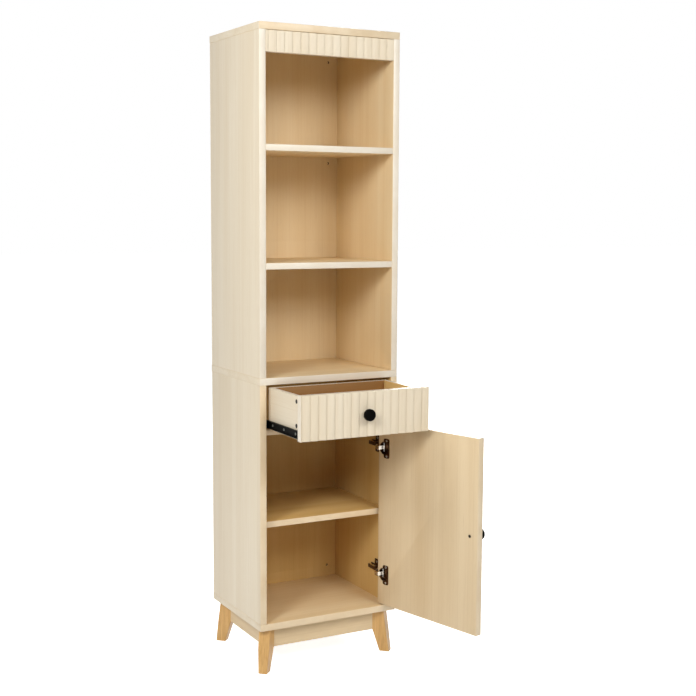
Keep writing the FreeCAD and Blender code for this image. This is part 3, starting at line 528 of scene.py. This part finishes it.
for batch, node in ((5, "fluted_fascia"), (6, "drawer_front")):
    low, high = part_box(node)
    front = fluted_board(low, high)
    finish_ends(front, high.x)
    # The backs take the inner print, which paints the shade inside the cabinet and the drawer.
    finishes = (pale_board("Z", batch), PALE_BAND, pale_board("Z", batch, "inner"))
    set_piece(f"{node}_board", front, finishes, node)
    print(node, "has", int((high.x - low.x) / FLUTE_PITCH), "whole flutes")

# %% [markdown]
# ## The door, with its two bored cups
# The door is one more fluted board, but two round pockets are bored into its back for the hinge cups. A
# boolean with a drill-shaped cutter does what the drill does in the workshop. It is applied at once and the
# cutters are thrown away, so the finished door is a plain mesh.

# %% Drilling
DRILL_SEGMENTS = 64


def bored(bm, drills):
    """The bmesh with round holes along Y; each drill is a centre, a radius and a length."""
    blank = bpy.data.objects.new("blank", bpy.data.meshes.new("blank"))
    bpy.context.scene.collection.objects.link(blank)
    bm.to_mesh(blank.data)
    helpers = [blank]
    for centre, radius, length in drills:
        bit = bmesh.new()
        seat = Matrix.Translation(centre) @ Matrix.Rotation(math.pi / 2, 4, "X")
        bmesh.ops.create_cone(bit, cap_ends=True, segments=DRILL_SEGMENTS, radius1=radius, radius2=radius,
                              depth=length, matrix=seat)
        cutter = bpy.data.objects.new("drill_bit", bpy.data.meshes.new("drill_bit"))
        bit.to_mesh(cutter.data)
        bit.free()
        bpy.context.scene.collection.objects.link(cutter)
        helpers.append(cutter)
        bore = blank.modifiers.new("bore", "BOOLEAN")
        bore.operation = "DIFFERENCE"
        bore.solver = "EXACT"
        bore.object = cutter
    bpy.context.view_layer.update()
    finished = bpy.data.meshes.new_from_object(blank.evaluated_get(bpy.context.evaluated_depsgraph_get()))
    bm.clear()
    bm.from_mesh(finished)
    bpy.data.meshes.remove(finished)
    for helper in helpers:
        shape = helper.data
        bpy.data.objects.remove(helper)
        bpy.data.meshes.remove(shape)
    return bm


print("a drill has", DRILL_SEGMENTS, "sides")

# %% Bored door
HINGE_CHAMFER = 3 * MM
CUP_NODES = ("hinge_cup_upper", "hinge_cup_lower")
CUP_RADIUS = 17.5 * MM
cup_boxes = {node: shut_box(node) for node in CUP_NODES}
cup_drills = []
for low, high in cup_boxes.values():
    middle = (low + high) / 2
    centre = Vector((high.x - CUP_RADIUS, middle.y, middle.z))
    cup_drills.append((centre, CUP_RADIUS, high.y - low.y))
low, high = shut_box("door_panel")
door = bored(fluted_board(low, high, HINGE_CHAMFER), cup_drills)
finish_ends(door, high.x)
bmesh.ops.transform(door, matrix=OPENED, verts=door.verts)
# The door's back takes the door print, whose warmer, darker tones paint the shade on it.
door_finishes = (pale_board("Z", 7), WARM_BAND_SHADED, pale_board("Z", 7, "door"))
set_piece("door_board", door, door_finishes, "door_panel")
print("hinge cups bored:", len(cup_drills))

# %% [markdown]
# ## Knobs
# The knobs are turned pieces: a slim neck that flares into a thick head with a rounded rim and a face that
# is very slightly domed. Half of the section is drawn as a line of points, with arcs for the cove and the
# rim, and a spin turns it round the axis. The section starts at the neck's end in the flutes.

# %% Turning a section
TURN_STEPS = 56
SAME_POINT = 0.01 * MM


def arc(across, along, radius, start, end, steps):
    """Points on an arc in the plane of a section; angles are in degrees."""
    angles = [math.radians(start + (end - start) * step / steps) for step in range(steps + 1)]
    return [(across + radius * math.cos(angle), along + radius * math.sin(angle)) for angle in angles]


def turned(section):
    """Spin a section of (radius, level) points once round the Z axis."""
    bm = bmesh.new()
    points = [bm.verts.new((radius, 0, level)) for radius, level in section]
    edges = [bm.edges.new(pair) for pair in zip(points, points[1:])]
    bmesh.ops.spin(bm, geom=points + edges, cent=(0, 0, 0), axis=(0, 0, 1), angle=2 * math.pi,
                   steps=TURN_STEPS, use_merge=True)
    bmesh.ops.remove_doubles(bm, verts=bm.verts, dist=SAME_POINT)
    bmesh.ops.recalc_face_normals(bm, faces=bm.faces)
    return bm


print("a turn takes", TURN_STEPS, "steps")

# %% Turned knobs
KNOB_NECK = 6.5 * MM
KNOB_COVE = 5 * MM
KNOB_HEAD = 13 * MM
KNOB_RIM = 4 * MM
KNOB_DOME = 0.7 * MM
DOME_SHARES = (0.7, 0.35, 0)
TOWARDS_FRONT = Matrix.Rotation(math.pi / 2, 4, "X")


def knob(low, high):
    """A knob whose axis runs along Y through the middle of the box, its face on the front."""
    radius = (high.x - low.x) / 2
    length = high.y - low.y
    shoulder = length - KNOB_HEAD
    face = length - KNOB_DOME
    section = [(0, 0), (KNOB_NECK, 0)]
    section += arc(KNOB_NECK + KNOB_COVE, shoulder - KNOB_COVE, KNOB_COVE, 180, 90, 8)
    section += arc(radius - KNOB_RIM / 2, shoulder + KNOB_RIM / 2, KNOB_RIM / 2, -90, 0, 6)
    section += arc(radius - KNOB_RIM, face - KNOB_RIM, KNOB_RIM, 0, 84, 9)
    section += [((radius - KNOB_RIM) * share, length - KNOB_DOME * share ** 2) for share in DOME_SHARES]
    bm = turned(section)
    middle = (low + high) / 2
    seat = Matrix.Translation((middle.x, high.y, middle.z)) @ TOWARDS_FRONT
    bmesh.ops.transform(bm, matrix=seat, verts=bm.verts)
    return bm


set_piece("drawer_knob_turned", knob(*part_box("drawer_knob")), (BLACK_PAINT,), "drawer_knob")
door_knob = knob(*shut_box("door_knob"))
bmesh.ops.transform(door_knob, matrix=OPENED, verts=door_knob.verts)
set_piece("door_knob_turned", door_knob, (BLACK_PAINT,), "door_knob")

# %% [markdown]
# ## Screws with a cross recess
# Wherever a screw shows, only its head does: a low dome with a cross for the driver. One head is made with
# a radius and a rise of one: three circles are bridged into the dome, the crown is bridged to a cross of
# twelve corners, and the cross is pushed in. Copies of it are scaled and set on each group of screws below.

# %% One screw head
HEAD_SEGMENTS = 24
RIM_LEVEL = -0.45
CROWN_RADIUS = 0.8
CROSS_ARM = 0.6
CROSS_HALF_WIDTH = 0.14
CROSS_DEPTH = 0.9
CROSS_TAPER = 0.7


def loop_of(bm, radius, level):
    """A circle of edges round the Z axis."""
    made = bmesh.ops.create_circle(bm, cap_ends=False, segments=HEAD_SEGMENTS, radius=radius,
                                   matrix=Matrix.Translation((0, 0, level)))
    own = set(made["verts"])
    return [edge for edge in bm.edges if own.issuperset(edge.verts)]


def cross_head_mesh():
    bm = bmesh.new()
    foot = loop_of(bm, 1.0, -1.0)
    rim = loop_of(bm, 1.0, RIM_LEVEL)
    crown = loop_of(bm, CROWN_RADIUS, 0.0)
    half = CROSS_HALF_WIDTH
    corner = [(CROSS_ARM, -half), (CROSS_ARM, half), (half, half)]
    points = []
    for quarter in range(4):
        turn = Matrix.Rotation(quarter * math.pi / 2, 4, "Z")
        points += [bm.verts.new(turn @ Vector((x, y, 0))) for x, y in corner]
    cross = [bm.edges.new(pair) for pair in zip(points, points[1:] + points[:1])]
    bmesh.ops.bridge_loops(bm, edges=foot + rim)
    bmesh.ops.bridge_loops(bm, edges=rim + crown)
    bmesh.ops.bridge_loops(bm, edges=crown + cross)
    recess = bmesh.ops.extrude_edge_only(bm, edges=cross)
    sunk = [item for item in recess["geom"] if isinstance(item, bmesh.types.BMVert)]
    bmesh.ops.translate(bm, vec=DOWN * CROSS_DEPTH, verts=sunk)
    bmesh.ops.scale(bm, vec=(CROSS_TAPER, CROSS_TAPER, 1.0), verts=sunk)
    bmesh.ops.holes_fill(bm, edges=bm.edges, sides=HEAD_SEGMENTS)
    bmesh.ops.recalc_face_normals(bm, faces=bm.faces)
    mesh = bpy.data.meshes.new("cross_head")
    bm.to_mesh(mesh)
    bm.free()
    return mesh


CROSS_HEAD = cross_head_mesh()
print("screw head:", len(CROSS_HEAD.polygons), "faces")

# %% [markdown]
# ## Finding the screws
# A node such as the hinge plate screws is a group of separate solids. Its mesh is loose triangles, so a copy
# is merged first, and then a walk from point to neighbouring point collects each solid. The points that lie
# furthest out along the screw are its head: their middle and their reach give the place and the radius.

# %% The separate solids of a node
def solids_of(node):
    """The points of each separate solid in a node."""
    bm = bmesh.new()
    bm.from_mesh(frame["nodes"][node].data)
    bmesh.ops.remove_doubles(bm, verts=bm.verts, dist=SAME_POINT)
    seen = set()
    solids = []
    for start in bm.verts:
        if start in seen:
            continue
        seen.add(start)
        waiting = [start]
        points = []
        while waiting:
            vert = waiting.pop()
            points.append(vert.co.copy())
            for edge in vert.link_edges:
                neighbour = edge.other_vert(vert)
                if neighbour not in seen:
                    seen.add(neighbour)
                    waiting.append(neighbour)
        solids.append(points)
    bm.free()
    return solids


def middle_of(points):
    return sum(points, Vector()) / len(points)


print("back panel screws:", len(solids_of("back_panel_screws")))

# %% Screw heads on each group
HEAD_RISE = 1.1 * MM
PROUD = 0.35 * MM
FLUSH = 0.0
DOOR_INWARD = OPENED.to_3x3() @ BACK


def screw_heads(node, outward_of, finish, stands):
    """Cross-recessed heads for a node's screws; outward_of gives the way a head at a place looks."""
    bm = bmesh.new()
    for points in solids_of(node):
        outward = outward_of(middle_of(points))
        top = max(spot.dot(outward) for spot in points)
        face = [spot for spot in points if top - spot.dot(outward) < SAME_POINT]
        centre = middle_of(face)
        radius = max((spot - centre).length for spot in face)
        before = len(bm.verts)
        bm.from_mesh(CROSS_HEAD)
        bm.verts.ensure_lookup_table()
        seat = Matrix.Translation(centre + outward * stands)
        turn = outward.to_track_quat("Z", "Y").to_matrix().to_4x4()
        size = Matrix.Diagonal((radius, radius, HEAD_RISE, 1.0))
        bmesh.ops.transform(bm, matrix=seat @ turn @ size, verts=bm.verts[before:])
    return set_piece(f"{node}_heads", bm, (finish,), node)


SCREWS = {
    "hinge_plate_screws": (lambda place: LEFT, ZINC, PROUD),
    "hinge_cup_screws": (lambda place: DOOR_INWARD, ZINC, PROUD),
    "door_knob_screw": (lambda place: DOOR_INWARD, DARK_ZINC_SHADED, PROUD),
    "drawer_knob_screw": (lambda place: BACK, DARK_ZINC_SHADED, PROUD),
    "back_panel_screws": (lambda place: BACK, ZINC, FLUSH),
    "drawer_back_screws": (lambda place: BACK, ZINC, PROUD),
    "drawer_cam_locks": (lambda place: RIGHT if place.x > 0 else LEFT, DARK_ZINC_SHADED, PROUD),
    "slide_runner_screws": (lambda place: RIGHT if place.x > 0 else LEFT, DULL_ZINC_SHADED, PROUD),
    "slide_channel_screws": (lambda place: LEFT if place.x > 0 else RIGHT, ZINC, PROUD),
}
for node, ways in SCREWS.items():
    screw_heads(node, *ways)
print("groups of screw heads:", len(SCREWS))

# %% [markdown]
# ## Pressed and folded steel
# Hinge arms, mounting plates and slides are cut from sheet steel, and their edges are rounded by the press.
# Their nodes have the right shape already, so a copy of each is merged, its flat triangles are dissolved
# back into whole faces, and the sharp edges are eased by a fraction of the sheet's thickness. The strip of
# the arm that reaches into the cup takes a pale plate that paints a highlight. The rest takes a dark plate
# that paints shade.

# %% Eased copies of sheet-steel nodes
FLAT_WITHIN = math.radians(0.5)
STEEL_EASE = 0.3 * MM
STRIP_REACH = 12 * MM


def eased_copy(node, ease, finishes, name, slot_of=None, add_to=None):
    """A copy of a node with eased edges; slot_of picks a face's finish, add_to adds more to the bmesh."""
    bm = bmesh.new()
    bm.from_mesh(frame["nodes"][node].data)
    bmesh.ops.remove_doubles(bm, verts=bm.verts, dist=SAME_POINT)
    bmesh.ops.dissolve_limit(bm, angle_limit=FLAT_WITHIN, verts=bm.verts, edges=bm.edges)
    sharp = [edge for edge in bm.edges if edge.is_manifold and edge.calc_face_angle(0) > SHARP_EDGE]
    ease_edges(bm, sharp, ease)
    bm.normal_update()
    for face in bm.faces:
        face.material_index = slot_of(face) if slot_of else 0
    if add_to:
        add_to(bm)
    return set_piece(name, bm, finishes, node)


def highlight_strip_slot(strip_end, face):
    """The pale plate, a painted highlight, on the faces of a hinge arm that lie in front of the strip's end."""
    return int(face.calc_center_median().y < strip_end)


sheet_steel = []
for level in ("upper", "lower"):
    arm = f"hinge_arm_{level}"
    plate = f"hinge_plate_{level}"
    slot_of = partial(highlight_strip_slot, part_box(arm)[0].y + STRIP_REACH)
    sheet_steel.append(eased_copy(arm, STEEL_EASE, (HINGE_NICKEL_SHADED, HINGE_NICKEL_HIGHLIGHT), f"{arm}_pressed", slot_of))
    sheet_steel.append(eased_copy(plate, STEEL_EASE, (HINGE_NICKEL_SHADED,), f"{plate}_pressed"))
for side in ("left", "right"):
    for node in (f"slide_channel_{side}", f"slide_runner_{side}"):
        sheet_steel.append(eased_copy(node, STEEL_EASE, (BLACK_STEEL,), f"{node}_folded"))
print("sheet-steel pieces:", len(sheet_steel))

# %% [markdown]
# ## Hinge cups
# A hinge cup is drawn from one disc of steel: a round pot with a rolled lip, and two ears that carry its
# screws. The pot is turned from a section like the knobs. The ears are a plate with rounded ends, and a hole
# is bored through its middle where the pot opens. Both are made with the door shut and swung out with it.

# %% Pots and ears
CUP_WALL = 1.0 * MM
CUP_FLOOR = 0.8 * MM
CUP_LIP = 0.5 * MM
EAR_WIDTH = 21 * MM
EAR_STEEL = 1.2 * MM
EAR_CORNER = 5 * MM
EAR_STEPS = 6
TOWARDS_BACK = Matrix.Rotation(-math.pi / 2, 4, "X")


def hinge_cup(low, high):
    """A cup between two corners of the shut door's frame; it opens towards the back."""
    rim = high.y - EAR_STEEL
    mouth = Vector((high.x - CUP_RADIUS, rim, (low.z + high.z) / 2))
    depth = rim - low.y
    inner = CUP_RADIUS - CUP_WALL
    section = [(0, -depth), (inner, -depth), (CUP_RADIUS, CUP_WALL - depth), (CUP_RADIUS, 0)]
    section += arc(CUP_RADIUS, CUP_LIP, CUP_LIP, -90, 90, 5)
    section += arc(inner + CUP_LIP, CUP_LIP, CUP_LIP, 90, 180, 4)
    section += [(inner, CUP_FLOOR + CUP_WALL - depth), (inner - CUP_WALL, CUP_FLOOR - depth)]
    section += [(0, CUP_FLOOR - depth)]
    pot = turned(section)
    bmesh.ops.transform(pot, matrix=Matrix.Translation(mouth) @ TOWARDS_BACK, verts=pot.verts)
    ears = block(Vector((low.x, rim, low.z)), Vector((low.x + EAR_WIDTH, high.y, high.z)))
    upright = [edge for edge in ears.edges if abs(edge.verts[0].co.y - edge.verts[1].co.y) > EAR_STEEL / 2]
    ease_edges(ears, upright, EAR_CORNER, EAR_STEPS)
    ears = bored(ears, [(mouth, CUP_RADIUS - CUP_WALL / 2, 4 * EAR_STEEL)])
    ear_mesh = bpy.data.meshes.new("ears")
    ears.to_mesh(ear_mesh)
    ears.free()
    pot.from_mesh(ear_mesh)
    bpy.data.meshes.remove(ear_mesh)
    bmesh.ops.transform(pot, matrix=OPENED, verts=pot.verts)
    return pot


for node, corners in cup_boxes.items():
    set_piece(f"{node}_pressed", hinge_cup(*corners), (HINGE_NICKEL_SHADED,), node)
print("hinge cups:", len(cup_boxes))

# %% [markdown]
# ## Boards that are drilled or mitred
# The back panels have holes and the aprons have slanted ends, so they aren't plain boxes. They are eased
# copies too. Inside a drilled hole the film ends and the brown chips of the board show, painted very dark
# for the shade in the hole. Each hole for a wall screw holds a dark disc near the back, which is painted
# shade: it hides the white background behind, so the hole looks dark. The record's wall fixings say where
# the holes are.

# %% Faces and holes of a back panel
FLAT_ON = 0.95
# The dark discs in the wall holes are painted shade.
SHADE_DISC_DEPTH = 0.4 * MM
SHADE_DISC_SEGMENTS = 24


def back_panel_slot(panel_low, panel_high, face):
    """The inside's print, with painted shade, on the front; dark chips with painted shade in the holes; the outer
    print on the rear and edges.
    """
    place = face.calc_center_median()
    inside = all(panel_low[axis] + MM < place[axis] < panel_high[axis] - MM for axis in (0, 2))
    if inside and abs(face.normal.y) < FLAT_ON:
        return 1
    return 0 if face.normal.y < 0 else 2


def shade_discs_in_holes(fixing, bm):
    """A dark disc of painted shade near the back of each hole of a wall fixing."""
    radius = fixing["dims"]["hole_r_mm"] * MM
    across = fixing["dims"]["spacing_x_mm"] * MM / 2
    up = fixing["dims"].get("spacing_y_mm", 0) * MM / 2
    for right, above in sorted({(-across, -up), (-across, up), (across, -up), (across, up)}):
        centre = Vector(fixing["pos_m"]) + Vector((right, -SHADE_DISC_DEPTH, above))
        before = len(bm.faces)
        bmesh.ops.create_cone(bm, cap_ends=True, segments=SHADE_DISC_SEGMENTS, radius1=radius, radius2=radius,
                              depth=SHADE_DISC_DEPTH, matrix=Matrix.Translation(centre) @ TOWARDS_FRONT)
        bm.faces.ensure_lookup_table()
        for face in bm.faces[before:]:
            face.material_index = 1


mounts = {mount["name"]: mount for mount in frame["record"]["mounts"]}
print("wall holes:", sum(mounts[f"wall_fixing_{unit}"]["dims"]["count"] for unit in ("upper", "lower")))

# %% Back panels, drawer bottom and aprons
THIN_EASE = 0.4 * MM
# The front of each back panel takes a print that paints the shade inside the cabinet.
BACK_PANELS = {"upper": (8, "open"), "lower": (9, "inner")}
for unit, (batch, side) in BACK_PANELS.items():
    slot_of = partial(back_panel_slot, *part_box(f"{unit}_back_panel"))
    shade_discs = partial(shade_discs_in_holes, mounts[f"wall_fixing_{unit}"])
    finishes = (pale_board("Z", batch, side), CORE_PAINTED_SHADE, pale_board("Z", batch))
    eased_copy(f"{unit}_back_panel", THIN_EASE, finishes, f"{unit}_back_board", slot_of, shade_discs)
# The drawer bottom takes the inner print, which paints the shade inside the drawer.
eased_copy("drawer_bottom", THIN_EASE, (pale_board("X", 9, "inner"),), "drawer_bottom_board")
# The aprons take the door print, whose warmer, darker tones paint the shade under the cabinet.
APRONS = {"front": ("X", 10), "rear": ("X", 11), "left": ("Y", 10), "right": ("Y", 11)}
for side, (grain, batch) in APRONS.items():
    node = f"base_apron_{side}"
    eased_copy(node, BOARD_EASE, (pale_board(grain, batch, "door"),), f"{node}_board")
print("back panels:", len(BACK_PANELS), "and aprons:", len(APRONS))

# %% [markdown]
# ## Finishes for the nodes that stay
# The legs and the small hidden parts keep the shape that the frame gives them. They only trade their plain
# colour for one of the finishes above.

# %% Finishes on the frame's own nodes
STAYING = {
    "leg_front_left": LEG_WOOD,
    "leg_front_right": LEG_WOOD,
    "leg_rear_left": LEG_WOOD,
    "leg_rear_right": LEG_WOOD,
    "leg_brackets": ZINC,
    "leg_bolts": ZINC,
    "leg_nuts": ZINC,
    "shelf_pins": ZINC,
    "carcass_dowels": DOWEL_WOOD,
    "drawer_cam_bolts": ZINC,
    "hinge_pins": ZINC,
    "ball_cage_left": BLACK_STEEL,
    "ball_cage_right": BLACK_STEEL,
    "slide_balls_left": BALL_STEEL,
    "slide_balls_right": BALL_STEEL,
}
for node, finish in STAYING.items():
    frame["nodes"][node].data.materials.clear()
    frame["nodes"][node].data.materials.append(finish)
print("nodes that stay:", len(STAYING))

# %% [markdown]
# ## Floor, light and background
# The cabinet stands on a pale floor before a white background, in soft light from the front and from above.
# The world is white to the eye and in reflections, but only a small share of it lights the boards, so that
# the inside of the cupboard stays dark. The floor adds a glow for the eye and for reflections, a little less
# of it near the cabinet: it reads as white and runs into the background, and still takes the shadow.

# %% White world
WHITE = (1, 1, 1, 1)
SKY_SHARE = 0.02


def seen_directly(tree):
    """1 for rays from the camera, in reflections and through glass, and 0 for light that falls on things."""
    path = tree.nodes.new("ShaderNodeLightPath")
    total = path.outputs["Is Camera Ray"]
    for name in ("Is Glossy Ray", "Is Transmission Ray"):
        either = tree.nodes.new("ShaderNodeMath")
        either.operation = "MAXIMUM"
        tree.links.new(total, either.inputs[0])
        tree.links.new(path.outputs[name], either.inputs[1])
        total = either.outputs["Value"]
    return total


def white_world():
    world = bpy.data.worlds.new("studio")
    world.use_nodes = True
    tree = world.node_tree
    sky = tree.nodes["Background"]
    sky.inputs["Color"].default_value = WHITE
    strength = tree.nodes.new("ShaderNodeMapRange")
    strength.inputs["To Min"].default_value = SKY_SHARE
    strength.inputs["To Max"].default_value = 1.0
    tree.links.new(seen_directly(tree), strength.inputs["Value"])
    tree.links.new(strength.outputs["Result"], sky.inputs["Strength"])
    bpy.context.scene.world = world


white_world()
print("share of the sky that lights the boards:", SKY_SHARE)

# %% Pale floor
FLOOR_REACH = 30.0
FLOOR_WHITE = (0.9, 0.9, 0.9, 1)
GLOW_NEAR = 0.84
GLOW_FAR = 1.0
GLOW_REACH = 4.0
GLOW_SETTLES = 0.6


def pale_floor():
    bm = bmesh.new()
    bmesh.ops.create_grid(bm, x_segments=1, y_segments=1, size=FLOOR_REACH)
    mesh = bpy.data.meshes.new("studio_floor")
    bm.to_mesh(mesh)
    bm.free()
    floor = bpy.data.objects.new("studio_floor", mesh)
    bpy.context.scene.collection.objects.link(floor)
    finish, tree, shader = new_finish("floor_white")
    shader.inputs["Base Color"].default_value = FLOOR_WHITE
    shader.inputs["Roughness"].default_value = 0.9
    shader.inputs["Specular IOR Level"].default_value = 0.0
    shader.inputs["Emission Color"].default_value = WHITE
    nearness = tree.nodes.new("ShaderNodeTexGradient")
    nearness.gradient_type = "SPHERICAL"
    tree.links.new(stretched(tree, (1 / GLOW_REACH,) * 3), nearness.inputs["Vector"])
    strength = tree.nodes.new("ShaderNodeMapRange")
    strength.inputs["From Max"].default_value = GLOW_SETTLES
    strength.inputs["To Min"].default_value = GLOW_FAR
    strength.inputs["To Max"].default_value = GLOW_NEAR
    tree.links.new(nearness.outputs["Fac"], strength.inputs["Value"])
    glow = tree.nodes.new("ShaderNodeMath")
    glow.operation = "MULTIPLY"
    tree.links.new(seen_directly(tree), glow.inputs[0])
    tree.links.new(strength.outputs["Result"], glow.inputs[1])
    tree.links.new(glow.outputs["Value"], shader.inputs["Emission Strength"])
    mesh.materials.append(finish)


pale_floor()
print("floor:", 2 * FLOOR_REACH, "m square")

# %% [markdown]
# ## Lamps
# Five soft lamps do it. The key stands well to the left of the camera, so that each flute throws a thin
# shadow on the next one. A weaker lamp above the camera softens it, and one further round lights the
# cabinet's left side. The fill stands to the right and reaches into the compartments, down to the back
# panels. The last lamp stands behind on the right and lights the back and the right side.

# %% Soft lamps
LOOK_AT = Vector((0.0, 0.0, 0.85))


def soft_lamp(name, place, size, watts):
    lamp = bpy.data.lights.new(name, "AREA")
    lamp.shape = "DISK"
    lamp.size = size
    lamp.energy = watts
    stand = bpy.data.objects.new(name, lamp)
    stand.location = place
    stand.rotation_euler = (LOOK_AT - Vector(place)).to_track_quat("-Z", "Y").to_euler()
    bpy.context.scene.collection.objects.link(stand)


LAMPS = {
    "key_lamp": ((-2.59, -2.02, 2.31), 1.0, 53),
    "front_lamp": ((-1.57, -2.95, 2.20), 1.0, 18),
    "side_lamp": ((-3.05, 0.0, 2.76), 1.0, 30),
    "fill_lamp": ((0.66, -3.11, 2.54), 1.4, 46),
    "rear_lamp": ((1.90, 2.50, 2.60), 1.4, 100),
}
for name, (place, size, watts) in LAMPS.items():
    soft_lamp(name, place, size, watts)
print("lamps:", len(LAMPS))

# %% [markdown]
# ## The camera
# The view is from the left front, a little above the middle shelf, through a longish lens. A turn about the
# upright axis, a tilt and a slight roll set its direction.

# %% Camera
CAMERA_PLACE = Vector((-1.47945, -2.99328, 1.19450))
CAMERA_YAW = math.radians(28.384)
CAMERA_PITCH = math.radians(-6.282)
CAMERA_ROLL = math.radians(0.29)
SENSOR_WIDTH = 36.0
FOCAL_LENGTH = 64.327

lens = bpy.data.cameras.new("front_left_view")
lens.sensor_fit = "HORIZONTAL"
lens.sensor_width = SENSOR_WIDTH
lens.lens = FOCAL_LENGTH
camera = bpy.data.objects.new("front_left_view", lens)
turn = Matrix.Rotation(-CAMERA_YAW, 4, "Z") @ Matrix.Rotation(math.pi / 2 + CAMERA_PITCH, 4, "X")
camera.matrix_world = Matrix.Translation(CAMERA_PLACE) @ turn @ Matrix.Rotation(CAMERA_ROLL, 4, "Z")
bpy.context.scene.collection.objects.link(camera)
bpy.context.scene.camera = camera
bpy.context.scene.view_settings.view_transform = "Standard"
print("camera:", round(lens.lens, 1), "mm lens")

# %% [markdown]
# ## The size
# The finished model has to stay inside the box of the frame.

# %% The end
print("the end")
